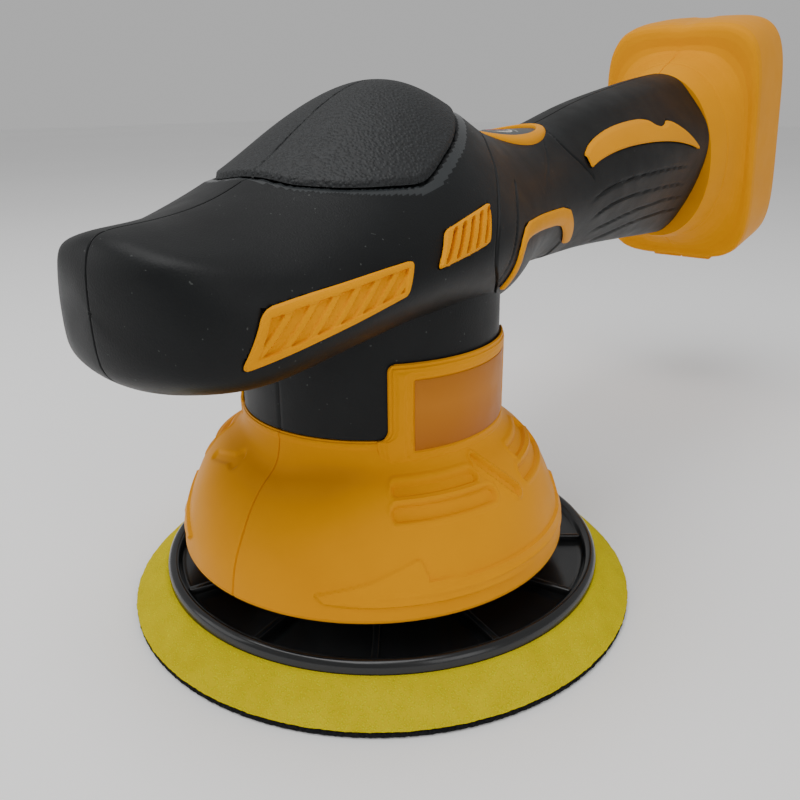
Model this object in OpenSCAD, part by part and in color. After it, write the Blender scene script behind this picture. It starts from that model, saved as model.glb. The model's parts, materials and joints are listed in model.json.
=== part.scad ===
// Cordless random-orbit polisher: cobra-shaped head over an upright motor, bell skirt,
// 150 mm backing pad on an eccentric, straight rear grip and a slide-on battery foot.
// +Z is up, the nose points to -Y, the grip runs to +Y. The origin lies on the motor
// axis, in the plane of the pad's working face.

/* [Pad and drive] */
// Diameter of the hook-faced pad at its working face
pad_d = 150; // [125:1:160]
// Distance from the motor axis to the pad axis (half the orbit)
orbit_r = 4; // [2:0.5:6]
// Diameter of the backing plate's rim
plate_d = 130; // [110:1:134]
// Height of the skirt's lower edge above the working face
skirt_z = 20.7; // [19:0.1:23]

/* [Neck and skirt] */
// Radius of the skirt's lower edge
skirt_r = 56.1; // [54:0.1:58]
// Radius of the neck where it meets the skirt
neck_r = 36.2; // [36:0.1:36.4]
// Height of the joint between the skirt and the neck
neck_z = 60.5; // [59:0.1:61.5]
// Half of the angle that the label frame spans on each side
frame_half = 43; // [38:1:48]

/* [Shells] */
// Wall thickness of the head, handle and grip shells
wall = 2.6; // [2:0.1:3]
// Width of the visible seam between neighbouring shells
seam = 0.4; // [0.3:0.1:0.6]
// Distance along the handle where the soft grip starts
grip_y = 87; // [86.5:0.5:89]
// How far the yellow inserts stand out of the shells
trim_h = 0.9; // [0.6:0.1:1.2]

/* [Battery foot] */
// Upward tilt of the grip axis, which the foot stands square to
foot_tilt = 10; // [9:0.5:11]
// Half of the foot's width
foot_w = 34.5; // [33:0.5:36]
// Depth of the foot along the grip axis
foot_depth = 55; // [52:1:58]

/* [Control panel] */
// Half-width of the egg-shaped control panel
panel_w = 12.5; // [12:0.1:13]
// Half-length of the control panel
panel_l = 24; // [23:0.5:24]
// Distance from the motor axis to the middle of the control panel
panel_y = 61.5; // [61:0.5:62]

/* [Hidden] */
$fn = 96;

black = "#1c1d1e";
soft_black = "#242526";
yellow = "#e59a00";
steel = "#9a9da1";
copper = "#b5702c";

// ---------- Body surface ----------
// The head, handle and grip share one smooth surface: a cubic B-spline net over ribs that
// stand square to Y. Each rib lists: y, top z, shoulder x, shoulder z, widest x, its z,
// lower corner x, its z, bottom z, crown, shoulder softness, lower softness, sweep back.
ribs = [
  [-84.4, 112, 15, 110, 20, 101, 18, 91, 89, 0.5, 2, 2.5, 9],
  [-82.5, 117, 19, 113, 27, 101, 25, 88, 85.5, 0.5, 2, 3, 9],
  [-76, 118, 25, 111.5, 32, 101, 30, 86, 81, 0.5, 3, 4, 7],
  [-64, 119, 31, 110, 35.5, 100, 34.5, 87, 77.5, 0.5, 4, 5, 3],
  [-50, 121.5, 35, 112.5, 39, 100, 37.5, 90, 79, 1, 5, 5, 0],
  [-34, 129, 38, 115.5, 41.5, 103, 40, 92, 84, 3, 6, 6, 0],
  [-18, 141, 39.5, 117, 43, 105, 41, 93, 88, 7, 7, 7, 0],
  [0, 149, 38.5, 120, 43, 106, 41, 92, 86, 9, 8, 8, 0],
  [18, 146, 34, 122, 40, 106, 37, 88, 82, 7, 8, 8, 0],
  [34, 135.5, 28, 121, 33, 106, 30, 88, 82, 5, 7, 7, 0],
  [50, 130.5, 24, 122, 28, 106, 23, 92, 85, 3, 6, 6, 0],
  [68, 130.5, 20, 123, 24.5, 107, 19, 93, 86.5, 3, 6, 6, 0],
  [86, 132.5, 19, 124, 23.5, 108, 18, 93, 87, 4, 6, 6, 0],
  [110, 139, 18, 130, 24, 113, 18, 95, 86.5, 5, 6, 6, 0],
  [135, 143.5, 19, 133, 25, 116, 18, 95, 85, 5, 7, 7, 0],
  [160, 147.5, 19, 136, 25, 120, 17, 96, 83, 5, 7, 7, 0],
  [182, 150, 19, 139, 24.5, 122, 16, 97, 81, 5, 7, 7, 0],
  [202, 151.5, 19, 140, 24.5, 123, 16, 97, 80, 5, 7, 7, 0]];
// Foremost point of the nose and its height
nose_y = -84.8;
nose_z = 101;

function unit(v) = v / norm(v);
function toward(a, b, r) = a + r * unit(b - a);
function rib_points(s, inset) =
  let (top = [0, s[1] - inset],
       shoulder = [s[2] - inset, s[3] - 0.6 * inset],
       side = [s[4] - inset, s[5]],
       lower = [s[6] - inset, s[7] + 0.6 * inset],
       bottom = [0, s[8] + inset],
       roof = (top + shoulder) / 2 + [0, 0.6 * s[9]],
       belly = (lower + bottom) / 2 - [0, 0.3 * s[9]])
  [for (p = [top, roof, toward(shoulder, top, s[10]), toward(shoulder, side, s[10]), side,
             toward(lower, side, s[11]), toward(lower, bottom, s[11]), belly, bottom])
    [p[0], s[0] + s[12] * pow(p[0] / 30, 2), p[1]]];
function body_net(inset) = concat(
  [[for (i = [0:8]) [0, nose_y + inset, nose_z]]],
  [[for (p = rib_points(ribs[0], inset))
    [p[0] / 2, nose_y + inset + (p[1] - ribs[0][0]) / 4, (p[2] + nose_z) / 2]]],
  [for (i = [0:len(ribs) - 1])
    [for (p = rib_points(ribs[i], inset)) p + [0, i < 3 ? inset : 0, 0]]]);

// Uniform cubic B-spline weights, and a point of the curve through a control list
function weights(t) = [pow(1 - t, 3), 3 * pow(t, 3) - 6 * t * t + 4,
                       -3 * pow(t, 3) + 3 * t * t + 3 * t + 1, pow(t, 3)] / 6;
function spline(P, u) =
  let (i = min(floor(u), len(P) - 4), w = weights(u - i))
  w[0] * P[i] + w[1] * P[i + 1] + w[2] * P[i + 2] + w[3] * P[i + 3];
function mirrored(p) = [-p[0], p[1], p[2]];
function open_ends(P) = concat([2 * P[0] - P[1]], P, [2 * P[len(P) - 1] - P[len(P) - 2]]);
function closed_ends(P) = concat([mirrored(P[1])], P, [mirrored(P[len(P) - 2])]);
function padded(net) = open_ends([for (row = net) closed_ends(row)]);

body = padded(body_net(0));
body_core = padded(body_net(wall));
rows_n = len(ribs) + 2;
// The right half of the surface: u runs from the nose tip to the rear, v from top to bottom
function row_at(net, u) = let (i = min(floor(u), len(net) - 4), w = weights(u - i))
  w[0] * net[i] + w[1] * net[i + 1] + w[2] * net[i + 2] + w[3] * net[i + 3];
function at(net, u, v) = spline(row_at(net, u), v);

// u of a given y, and v of a given z or x, found by halving
function find_u(y, a = 2, b = rows_n - 1, n = 14) = n == 0 ? (a + b) / 2 :
  let (m = (a + b) / 2) at(body, m, 4)[1] < y ? find_u(y, m, b, n - 1) : find_u(y, a, m, n - 1);
function find_v(row, axis, goal, sign, a, b, n = 14) = n == 0 ? (a + b) / 2 :
  let (m = (a + b) / 2)
  sign * spline(row, m)[axis] < sign * goal ? find_v(row, axis, goal, sign, m, b, n - 1)
    : find_v(row, axis, goal, sign, a, m, n - 1);
function normal_at(u, v) = let (w = max(0.03, min(7.97, v)))
  unit(cross(at(body, u + 0.02, w) - at(body, u - 0.02, w), at(body, u, w - 0.02) - at(body, u, w + 0.02)));
function lifted(u, v, h) = at(body, u, v) + h * normal_at(u, v);
// Points on the flank at side-view (y, z), and on the roof at plan-view (x, y)
function on_flank(p, h) = let (u = find_u(p[0]), v = find_v(row_at(body, u), 2, p[1], -1, 1, 7))
  lifted(u, v, h);
function on_roof(p, h) = let (u = find_u(p[1]), v = find_v(row_at(body, u), 0, p[0], 1, 0, 3.6))
  lifted(u, v, h);

// A row of points carried straight across the seam plane, so that one cut there closes the half
function across_seam(row, past) = let (last = len(row) - 1) concat(
  [for (x = [-past, past]) [x, row[0][1], row[0][2]]],
  [for (k = [1:last - 1]) row[k]],
  [for (x = [past, -past]) [x, row[last][1], row[last][2]]]);
outer_past = 0.3;
inner_past = 0.5;
// The right half of the surface between rows us, with v steps of 1 / fine; the first row is a flat end
module half_body(net, us, fine, past) {
  half_loft([for (i = [0:len(us) - 1]) let (row = row_at(net, us[i]), y0 = spline(row, 4)[1])
    across_seam([for (k = [0:8 * fine]) let (p = spline(row, k / fine)) [p[0], i == 0 ? y0 : p[1], p[2]]],
                past)]);
}

// Solid from rows of points, each end closed by strips that join its upper and lower points
module half_loft(grid) {
  rows = len(grid);
  n = len(grid[0]);
  skin = [for (i = [0:rows - 2]) for (j = [0:n - 2]) let (a = i * n + j)
    each [[a, a + n + 1, a + 1], [a, a + n, a + n + 1]]];
  ends = [for (j = [0:floor((n - 1) / 2) - 1]) let (k = n - 1 - j, a = (rows - 1) * n)
    each k - j > 2
      ? [[j, k - 1, k], [j, j + 1, k - 1], [a + j, a + k, a + k - 1], [a + j, a + k - 1, a + j + 1]]
      : [[j, j + 1, k], [a + j, a + k, a + j + 1]]];
  side = [for (i = [0:rows - 2]) let (a = i * n, b = a + n - 1)
    each [[a, b + n, a + n], [a, b, b + n]]];
  polyhedron([for (r = grid) each r], concat(skin, ends, side));
}
// Everything past the seam plane; so large that no diagonal of its face crosses the part
module past_seam() { block([-5, -300, -1400], [0, 3000, 1600]); }

// Thin plate that follows the surface between two rails of equal length
module ribbon(low, high) {
  // low and high hold rows of points: low is the underside, high the outer face
  n = len(low[0]);
  rows = len(low);
  m = rows * n;
  faces = [for (i = [0:rows - 2]) for (j = [0:n - 2]) let (a = i * n + j)
    each [[a, a + 1, a + n + 1], [a, a + n + 1, a + n],
          [m + a, m + a + n + 1, m + a + 1], [m + a, m + a + n, m + a + n + 1]]];
  ends = [for (j = [0:n - 2]) for (i = [0, rows - 1]) let (a = i * n + j, s = i == 0)
    each s ? [[a, m + a, m + a + 1], [a, m + a + 1, a + 1]]
           : [[a, m + a + 1, m + a], [a, a + 1, m + a + 1]]];
  sides = [for (i = [0:rows - 2]) for (j = [0, n - 1]) let (a = i * n + j, s = j == 0)
    each s ? [[a, m + a + n, m + a], [a, a + n, m + a + n]]
           : [[a, m + a, m + a + n], [a, m + a + n, a + n]]];
  polyhedron([for (r = low) each r, for (r = high) each r], concat(faces, ends, sides));
}

// Evenly spaced points along a list of corners, for the rails of a ribbon
function along(P, t) = let (k = min(floor(t * (len(P) - 1)), len(P) - 2), f = t * (len(P) - 1) - k)
  P[k] * (1 - f) + P[k + 1] * f;
module flank_ribbon(upper, lower, rows, across, h0, h1) {
  grid = [for (i = [0:rows]) [for (j = [0:across])
    along(upper, i / rows) * (1 - j / across) + along(lower, i / rows) * j / across]];
  ribbon([for (r = grid) [for (p = r) on_flank(p, h0)]], [for (r = grid) [for (p = r) on_flank(p, h1)]]);
}

// ---------- Shared helpers ----------
module left() { mirror([1, 0, 0]) children(); }
module tube(outer, inner, z0, z1) {
  translate([0, 0, z0]) difference() {
    cylinder(r = outer, h = z1 - z0);
    translate([0, 0, -1]) cylinder(r = inner, h = z1 - z0 + 2);
  }
}
module rod(r, z0, z1) { translate([0, 0, z0]) cylinder(r = r, h = z1 - z0); }
// Cylinder along +X from x0 to x1 at (y, z)
module cross_rod(r, x0, x1, p) {
  translate([x0, p[0], p[1]]) rotate([0, 90, 0]) cylinder(r = r, h = x1 - x0, $fn = 32);
}
module block(a, b) { translate(a) cube(b - a); }

// ---------- Clamshell screws ----------
// Each screw lies along X: its [y, z], and the x at which its boss ends inside the wall
screw_head_r = 2.9;
screw_shank_r = 1.5;
screw_head_h = 2.4;
boss_r = 4;
// Depth from the boss's end to the seat of the screw's head
seat_depth = 7;
head_screw = [-27, 98.5, 38.4];
handle_screw = [52, 97, 20.5];
grip_screws = [[101, 103, 19], [168, 106, 18.3]];
module boss(s) { cross_rod(boss_r, 0.05, s[2], s); }
module pilot_hole(s) { cross_rod(screw_shank_r, -1, 11, s); }
module screw_well(s) {
  cross_rod(screw_shank_r + 0.3, -1, s[2], s);
  cross_rod(screw_head_r + 0.4, s[2] - seat_depth, s[2] + 12, s);
}
module screw(s) {
  seat = seat_depth - s[2];
  cross_rod(screw_head_r, seat - screw_head_h, seat, s);
  cross_rod(screw_shank_r, seat - 0.1, 10, s);
}
// Cuts one half shell: the side that takes the heads has wells, the other pilot holes
module fixings(screws, heads) {
  for (s = screws) {
    if (heads) screw_well(s);
    else pilot_hole(s);
  }
}

// ---------- Head ----------
// Plan outline of the head's rear edge on the right side, from the middle outwards
head_edge = [[0, 36], [10, 33.5], [17, 28.5], [22.7, 22.4], [27.2, 18.5], [31, 14.7], [37, 6.5],
             [40.3, 1.7], [42.4, -2.6], [46, -8]];
nose_rows = [0.5, 1, 1.5, 2, 2.5, 3, 3.5];
function rows_between(a, b, n) = [for (i = [0:n]) a + (b - a) * i / n];
u_head_end = find_u(41);
module head_region() {
  translate([0, 0, 60]) linear_extrude(100)
    polygon(concat([[0, -100], [60, -100], [60, -20]], [for (i = [len(head_edge) - 1:-1:0]) head_edge[i]]));
}
// Room for the neck and for the bearing cap that lies on it
module neck_passage() { translate([-0.5, 0, 0]) rod(neck_r, 60, neck_top + 3.4); }
module head_half(heads) {
  difference() {
    union() {
      difference() {
        half_body(body, concat(nose_rows, rows_between(4, u_head_end, 18)), 3, outer_past);
        half_body(body_core, concat([1.2, 2, 3], rows_between(4, u_head_end + 0.3, 9)), 2, inner_past);
        neck_passage();
        past_seam();
      }
      boss(head_screw);
    }
    fixings([head_screw], heads);
    difference() {
      translate([-1, -20, 50]) cube([70, 100, 120]);
      head_region();
    }
  }
}
module head_right() { color(black) head_half(false); }
module head_left() { color(black) left() head_half(true); }

// ---------- Handle root ----------
// Egg outline of the control panel: blunt towards the grip, longer towards the head
egg_steps = 48;
module egg(grow) {
  polygon([for (k = [0:egg_steps - 1]) let (a = 360 * k / egg_steps)
    [(panel_w + grow) * sin(a) * (1 - 0.1 * cos(a)), panel_y + (panel_l + grow) * cos(a)]]);
}
module egg_prism(grow, z0, z1) { translate([0, 0, z0]) linear_extrude(z1 - z0) egg(grow); }
module handle_half(heads) {
  difference() {
    union() {
      difference() {
        half_body(body, rows_between(find_u(-8), find_u(grip_y - seam / 2), 14), 3, outer_past);
        half_body(body_core, rows_between(find_u(-12), find_u(grip_y + 8), 8), 2, inner_past);
        neck_passage();
        past_seam();
      }
      boss(handle_screw);
    }
    fixings([handle_screw], heads);
    translate([0, seam, 0]) head_region();
    translate([-0.5, -100, 50]) cube([60, 93, 120]);
    egg_prism(0.2, 118, 148);
  }
}
module handle_right() { color(black) handle_half(false); }
module handle_left() { color(black) left() handle_half(true); }

// ---------- Rear grip ----------
// Frame of the battery foot: local Y runs along the grip axis, local Z up the foot's face
foot_origin = [0, 191.5, 114.9];
module on_foot() { translate(foot_origin) rotate([foot_tilt, 0, 0]) children(); }
module grip_half(heads) {
  difference() {
    union() {
      difference() {
        half_body(body, rows_between(find_u(grip_y + seam / 2), rows_n - 1, 16), 3, outer_past);
        half_body(body_core, rows_between(find_u(grip_y - 6), rows_n - 1, 8), 2, inner_past);
        past_seam();
      }
      for (s = grip_screws) boss(s);
    }
    fixings(grip_screws, heads);
    on_foot() translate([-60, -seam / 2, -60]) cube([120, 40, 120]);
  }
}
module grip_right() { color(soft_black) grip_half(false); }
module grip_left() { color(soft_black) left() grip_half(true); }

// ---------- Battery foot ----------
// Rings across the grip axis: distance along it, half-width, top, bottom, squareness
foot_rings = [
  [seam / 2, 24, 34.6, -34.6, 2.1], [6, 26, 36.5, -37, 2.1], [13, 27.5, 38, -39, 2.2],
  [19, 29, 39.5, -43, 2.6], [21.5, 30.5, 41.5, -47, 3.4], [22, 33, 47.5, -50.5, 4.6],
  [24, foot_w, 50.5, -51, 5], [32, foot_w, 51.5, -51, 5], [44, foot_w, 51, -51, 5],
  [foot_depth, foot_w, 50.5, -51, 5]];
foot_wall = 3;
// The hollow runs out through both ends
foot_core = [for (i = [0:len(foot_rings) - 1])
  let (r = foot_rings[i], past = i == 0 ? -1 : i == len(foot_rings) - 1 ? 1 : 0)
  [r[0] + past, r[1] - foot_wall, r[2] - foot_wall, r[3] + foot_wall, r[4]]];
function ring_mean(R, u) = spline(concat([2 * R[0] - R[1]], R, [2 * R[len(R) - 1] - R[len(R) - 2]]), u);
function power(x, n) = sign(x) * pow(abs(x), 2 / n);
function foot_ring(r, n) = [for (k = [0:n]) let (a = 180 * k / n,
    x = r[1] * power(sin(a), r[4]), c = power(cos(a), r[4]))
  [k == 0 || k == n ? 0 : x, r[0], c > 0 ? r[2] * c : -r[3] * c]];
foot_end = len(foot_rings) - 1;
foot_screws = [[34, 38, 31], [33, -37, 31]];
bay_a = 41;
lip_w = 14;
module foot_half(heads) {
  on_foot() difference() {
    union() {
      difference() {
        half_loft([for (u = rows_between(0, foot_end, 27))
          across_seam(foot_ring(ring_mean(foot_rings, u), 28), outer_past)]);
        half_loft([for (u = rows_between(0, foot_end, 14))
          across_seam(foot_ring(ring_mean(foot_core, u), 28), inner_past)]);
        past_seam();
      }
      // latch lip under the foot
      block([0, 34, -56], [lip_w, bay_a - 1.3, -46]);
      for (s = foot_screws) boss(s);
    }
    // the bay is open towards the ground
    block([-1, bay_a + 1.2, -70], [27, foot_depth + 1, -40]);
    fixings(foot_screws, heads);
  }
}
module foot_right() { color(yellow) foot_half(false); }
module foot_left() { color(yellow) left() foot_half(true); }

// Cover plate with the two slide rails of the battery interface
rail_x = 21;
module battery_plate() {
  color(soft_black) on_foot() {
    difference() {
      union() {
        block([-29.6, bay_a - 1, -34], [29.6, bay_a + 1, 34]);
        block([-25, bay_a - 1, -43.5], [25, bay_a + 1, 43.5]);
      }
      block([-13, bay_a - 2, -2], [13, bay_a + 2, 26]);
    }
    for (s = [-1, 1]) {
      block([s > 0 ? rail_x : -rail_x - 3, bay_a + 0.9, -40], [s > 0 ? rail_x + 3 : -rail_x, bay_a + 10, 36]);
      block([s > 0 ? rail_x - 2.5 : -rail_x - 3, bay_a + 7.5, -40], [s > 0 ? rail_x + 3 : -rail_x + 2.5, bay_a + 10, 36]);
    }
  }
}
module terminal_block() {
  color(black) on_foot() difference() {
    union() {
      block([-12.6, bay_a - 5, -1.6], [12.6, bay_a + 3, 25.6]);
      block([-11, bay_a + 2.9, 16], [11, bay_a + 7, 24]);
    }
    for (x = blade_x) block([x - 0.5, bay_a - 6, 2], [x + 0.5, bay_a + 8, 20]);
  }
}
blade_x = [-8, 0, 8];
module terminal_blades() {
  color(copper) on_foot() for (x = blade_x) block([x - 0.4, bay_a - 7, 3], [x + 0.4, bay_a + 6.4, 19.5]);
}

// ---------- Inserts on the body surface ----------
lift = 0.15;
// Outline of the palm pad in plan, [x, y], from the front of the seam to its rear
pad_edge = [[9, -40.2], [15, -38.4], [21, -34.5], [26.5, -28], [30.6, -18.5], [31, -14], [29, -6], [26, 3],
            [21.5, 11], [15.5, 18], [8, 24]];
module palm_pad_half() {
  across = 8;
  grid = [for (i = [0:2 * (len(pad_edge) - 1)]) let (p = along(pad_edge, i / 2 / (len(pad_edge) - 1)),
      y_mid = p[1] + (i == 0 ? -0.8 : i == 2 * (len(pad_edge) - 1) ? 2 : 0))
    [for (j = [0:across]) let (f = j / across)
      [max(0.05, p[0] * f), p[1] * f + (p[1] + (y_mid - p[1])) * (1 - f)]]];
  color(soft_black) ribbon([for (r = grid) [for (p = r) on_roof(p, lift)]],
                           [for (r = grid) [for (p = r) on_roof(p, lift + 1)]]);
}
module palm_pad_right() { palm_pad_half(); }
module palm_pad_left() { left() palm_pad_half(); }

// Rails in side view, [y, z]
grille_top = [[-67, 103], [-59, 104.6], [-51, 105.8], [-41, 107.2], [-31.5, 108.2]];
grille_low = [[-71.5, 90.5], [-63.5, 93.2], [-55.5, 95.9], [-45, 98.8], [-35, 101.3]];
module side_grille_half() { color(yellow) flank_ribbon(grille_top, grille_low, 12, 3, lift, lift + trim_h); }
module side_grille_right() { side_grille_half(); }
module side_grille_left() { left() side_grille_half(); }

vent_top = [[-19.5, 112.6], [-9.5, 114.8], [1.5, 116.8]];
vent_low = [[-25.5, 105.2], [-16, 106.6], [-5.5, 108.3]];
module side_vent_half() { color(yellow) flank_ribbon(vent_top, vent_low, 8, 3, lift, lift + trim_h); }
module side_vent_right() { side_vent_half(); }
module side_vent_left() { left() side_vent_half(); }

hook_outer = [[8.4, 94.5], [9.2, 99], [12, 105.8], [19, 110], [33, 109.5], [47, 109.1], [68, 108.5],
              [73.5, 103.6], [83, 95.5]];
hook_inner = [[11, 94.5], [12.2, 98.5], [14.5, 104.6], [19.5, 106.2], [32.5, 105.5], [47.5, 104.5], [61.8, 103.6],
              [67.5, 101], [77, 95.4]];
module hook_trim_half() { color(yellow) flank_ribbon(hook_outer, hook_inner, 18, 3, lift, lift + trim_h); }
module hook_trim_right() { hook_trim_half(); }
module hook_trim_left() { left() hook_trim_half(); }

crescent_top = [[88.5, 122.6], [96, 126.4], [110, 130.2], [125, 132.2], [138, 132.8], [143, 129.8],
                [149, 129.8], [153, 132.4], [163, 128.6], [176, 121.4]];
crescent_low = [[88.5, 118.2], [95, 120.2], [106, 122.4], [118, 123.8], [130, 124.4], [139, 124.5],
                [148, 124.3], [157, 123.6], [167, 122.2], [176.4, 120.4]];
module crescent_trim_half() {
  color(yellow) flank_ribbon(crescent_top, crescent_low, 18, 2, lift, lift + trim_h);
}
module crescent_trim_right() { crescent_trim_half(); }
module crescent_trim_left() { left() crescent_trim_half(); }

// ---------- Neck and skirt ----------
neck_top = 90;
module neck_half() {
  rotate([0, 0, -90]) rotate_extrude(angle = 180)
    polygon([[neck_r - 2.2, neck_z + 0.3], [neck_r, neck_z + 0.3], [neck_r - 1, neck_top], [neck_r - 2.4, neck_top]]);
}
module neck_right() { color(black) neck_half(); }
module neck_left() { color(black) left() neck_half(); }

// Outer profile of the bell, [radius, z], from its lower edge to the neck
bell = [[skirt_r, skirt_z], [55.1, 27], [53.5, 32.5], [51.7, 37.5], [49.4, 42.5], [46.4, 47], [43, 50.4],
        [39.2, 52.9], [37.4, 54.9], [36.7, 57.5], [neck_r + 0.2, neck_z]];
bell_wall = 2.4;
function bell_in(i) = let (a = bell[max(i - 1, 0)], b = bell[min(i + 1, len(bell) - 1)], d = unit(b - a))
  bell[i] + bell_wall * [-abs(d[1]), i == 0 || i == len(bell) - 1 ? 0 : -abs(d[0])];
bell_screws = [[-36.5, 49.5, 13], [36.5, 49.5, 13]];
bell_boss_r = 3;
bell_head_r = 2.3;
bell_shank_r = 1.2;
bell_seat = 3;
frame_r = 37.6;
frame_low = 54.6;
label_depth = 0.45;
frame_top = 80.5;
label_half = frame_half - 10;
module sector(half, outline) { rotate([0, 0, -half]) rotate_extrude(angle = 2 * half) polygon(outline); }
module skirt_half(heads) {
  difference() {
    union() {
      rotate([0, 0, -90]) rotate_extrude(angle = 180)
        polygon(concat(bell, [for (i = [len(bell) - 1:-1:0]) bell_in(i)]));
      // raised frame round the label
      sector(frame_half, [[neck_r - 0.8, frame_low], [frame_r - 0.2, frame_low], [frame_r, frame_low + 0.8],
        [frame_r, frame_top - 0.8], [frame_r - 0.8, frame_top], [neck_r + 0.3, frame_top],
        [neck_r + 0.3, neck_z - 0.5], [neck_r - 0.8, neck_z - 0.5]]);
      for (s = bell_screws) cross_rod(bell_boss_r, 0.05, s[2], s);
    }
    sector(label_half, [[frame_r - label_depth, 57], [frame_r + 2, 57], [frame_r + 2, 76.4],
      [frame_r - label_depth, 76.4]]);
    for (s = bell_screws) {
      if (heads) {
        cross_rod(bell_shank_r + 0.3, -1, s[2], s);
        cross_rod(bell_head_r + 0.3, s[2] - bell_seat, s[2] + 25, s);
      }
      else cross_rod(bell_shank_r, -1, 9, s);
    }
  }
}
module skirt_right() { color(yellow) skirt_half(false); }
module skirt_left() { color(yellow) left() skirt_half(true); }
module label_plate_half() {
  color(copper) sector(label_half - 0.3, [[frame_r - label_depth, 57.3], [frame_r - 0.05, 57.3],
    [frame_r - 0.05, 76.1], [frame_r - label_depth, 76.1]]);
}
module label_plate_right() { label_plate_half(); }
module label_plate_left() { left() label_plate_half(); }

// ---------- Control panel ----------
button_y = panel_y;
button_r = 4.6;
bezel_w = 2.8;
// Arched top that the panel shares with the handle: radius and height of its crest
module arch(r, crest) {
  translate([0, 0, crest - r]) rotate([-90, 0, 0]) cylinder(r = r, h = 120);
}
module button_bezel() {
  color(yellow) difference() {
    intersection() {
      egg_prism(0, 121, 134);
      arch(20.5, 132.4);
    }
    egg_prism(-bezel_w, 120, 135);
  }
}
module button_membrane() {
  color(soft_black) difference() {
    intersection() {
      egg_prism(-bezel_w - 0.05, 121, 134);
      arch(20, 131.2);
    }
    arch(18, 129.2);
    translate([0, button_y, 110]) cylinder(r = button_r + 0.3, h = 30);
  }
}
module power_button() {
  color("firebrick") translate([0, button_y, 0]) {
    rod(button_r, 128.2, 131.2);
    rod(button_r + 1, 127, 128.25);
    rod(1.6, 123.4, 127.1);
  }
}
module switch_board() {
  color("darkgreen") translate([0, button_y, 0]) {
    block([-8.4, -18, 118], [8.4, 15, 119.6]);
    block([-3, -3, 119.55], [3, 3, 121.9]);
    rod(1.4, 121.85, 122.2);
    block([-7, 7, 119.55], [-1, 12, 121.5]);
    block([1, 7, 119.55], [7, 12, 121]);
    block([-5, -15, 119.55], [5, -9, 121.4]);
  }
}

// ---------- Motor ----------
slots = 9;
module motor_stator() {
  // one ring with the winding slots and their narrow mouths cut out of it
  color(steel) difference() {
    tube(33.6, 17.6, 68, 86);
    for (k = [0:slots - 1]) rotate([0, 0, (k + 0.5) * 360 / slots]) {
      sector(14, [[19, 67], [25.4, 67], [25.4, 87], [19, 87]]);
      block([16, -1.2, 67], [19.5, 1.2, 87]);
    }
  }
}
module motor_windings() {
  color(copper) for (k = [0:slots - 1]) rotate([0, 0, k * 360 / slots]) difference() {
    block([19.3, -4.6, 66], [24.6, 4.6, 88]);
    sector(6.4, [[18, 67.9], [26, 67.9], [26, 86.1], [18, 86.1]]);
  }
}
module upper_bearing_cap() {
  color(steel) difference() {
    union() {
      rod(neck_r - 1.4, neck_top + 0.05, neck_top + 3);
      rod(14, neck_top + 1, 101.5);
    }
    rod(6, 80, 110);
    rod(11, 93, 102);
    for (a = [90, 210, 330]) rotate([0, 0, a]) translate([27, 0, 80]) cylinder(r = 5, h = 20);
  }
}
module upper_bearing() { color(steel) tube(11, 4.05, 93, 100); }
module bearing_plate() {
  color(steel) difference() {
    union() {
      rod(neck_r - 2.9, 54, 57);
      rod(18, 48, 57);
      for (a = [0:60:300]) rotate([0, 0, a]) block([17, -1.2, 51], [31, 1.2, 54.4]);
    }
    rod(11.5, 40, 60);
    rod(14, 49, 60);
    for (a = plate_screw_angles) rotate([0, 0, a]) translate([29, 0, 50]) cylinder(r = 1.8, h = 10);
  }
}
plate_screw_angles = [45, 135, 225, 315];
module bearing_plate_screws() {
  color(steel) for (a = plate_screw_angles) rotate([0, 0, a]) translate([29, 0, 0]) {
    rod(1.7, 51, 57.8);
    rod(3, 57.05, 58.9);
  }
}
module lower_bearing() { color(steel) tube(14, 6.05, 49, 57); }
module motor_shaft() {
  color("silver") {
    rod(6, 41.4, 59);
    rod(5, 58.9, 90);
    rod(4, 89.9, 101);
  }
}
module rotor_core() { color(steel) tube(13.4, 5, 67, 87); }
magnets = 8;
module rotor_magnets() {
  color("dimgray") for (k = [0:magnets - 1]) rotate([0, 0, k * 360 / magnets - 19])
    rotate_extrude(angle = 38) polygon([[13.4, 68], [16.4, 68], [16.4, 86], [13.4, 86]]);
}
module cooling_fan() {
  color(black) union() {
    tube(8, 5, 59.5, 65.5);
    tube(29, 7.9, 59.5, 60.7);
    for (k = [0:10]) rotate([0, 0, k * 360 / 11]) translate([7.5, 0, 59.6]) rotate([0, 0, 14]) cube([20.6, 1.4, 5.6]);
  }
}

// ---------- Eccentric drive ----------
module eccentric_hub() {
  color(steel) difference() {
    rod(21, 22, 47);
    rod(6, 41.2, 50);
    translate([0, orbit_r, 0]) rod(14, 21, 40.9);
  }
}
module counterweight() {
  color("dimgray") rotate([0, 0, -90]) sector(68, [[21, 29], [35, 29], [37, 31], [37, 41.5], [21, 41.5]]);
}
module on_pad() { translate([0, orbit_r, 0]) children(); }
module pad_bearings() { color(steel) on_pad() for (z = [22.4, 30.5]) tube(14, 6.05, z, z + 8); }
module pad_spindle() {
  color("silver") on_pad() difference() {
    union() {
      rod(4, 9.4, 19.1);
      rod(8.6, 19, 22.2);
      rod(6, 22, 40.6);
    }
    tube(9, 5.2, 38.6, 39.8);
  }
}
module spindle_circlip() {
  color(steel) on_pad() difference() {
    tube(8.4, 5.2, 38.65, 39.75);
    block([-1.5, 0, 38], [1.5, 10, 41]);
  }
}
module thread_insert() { color(steel) on_pad() tube(10, 4, 9.3, 19); }

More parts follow.
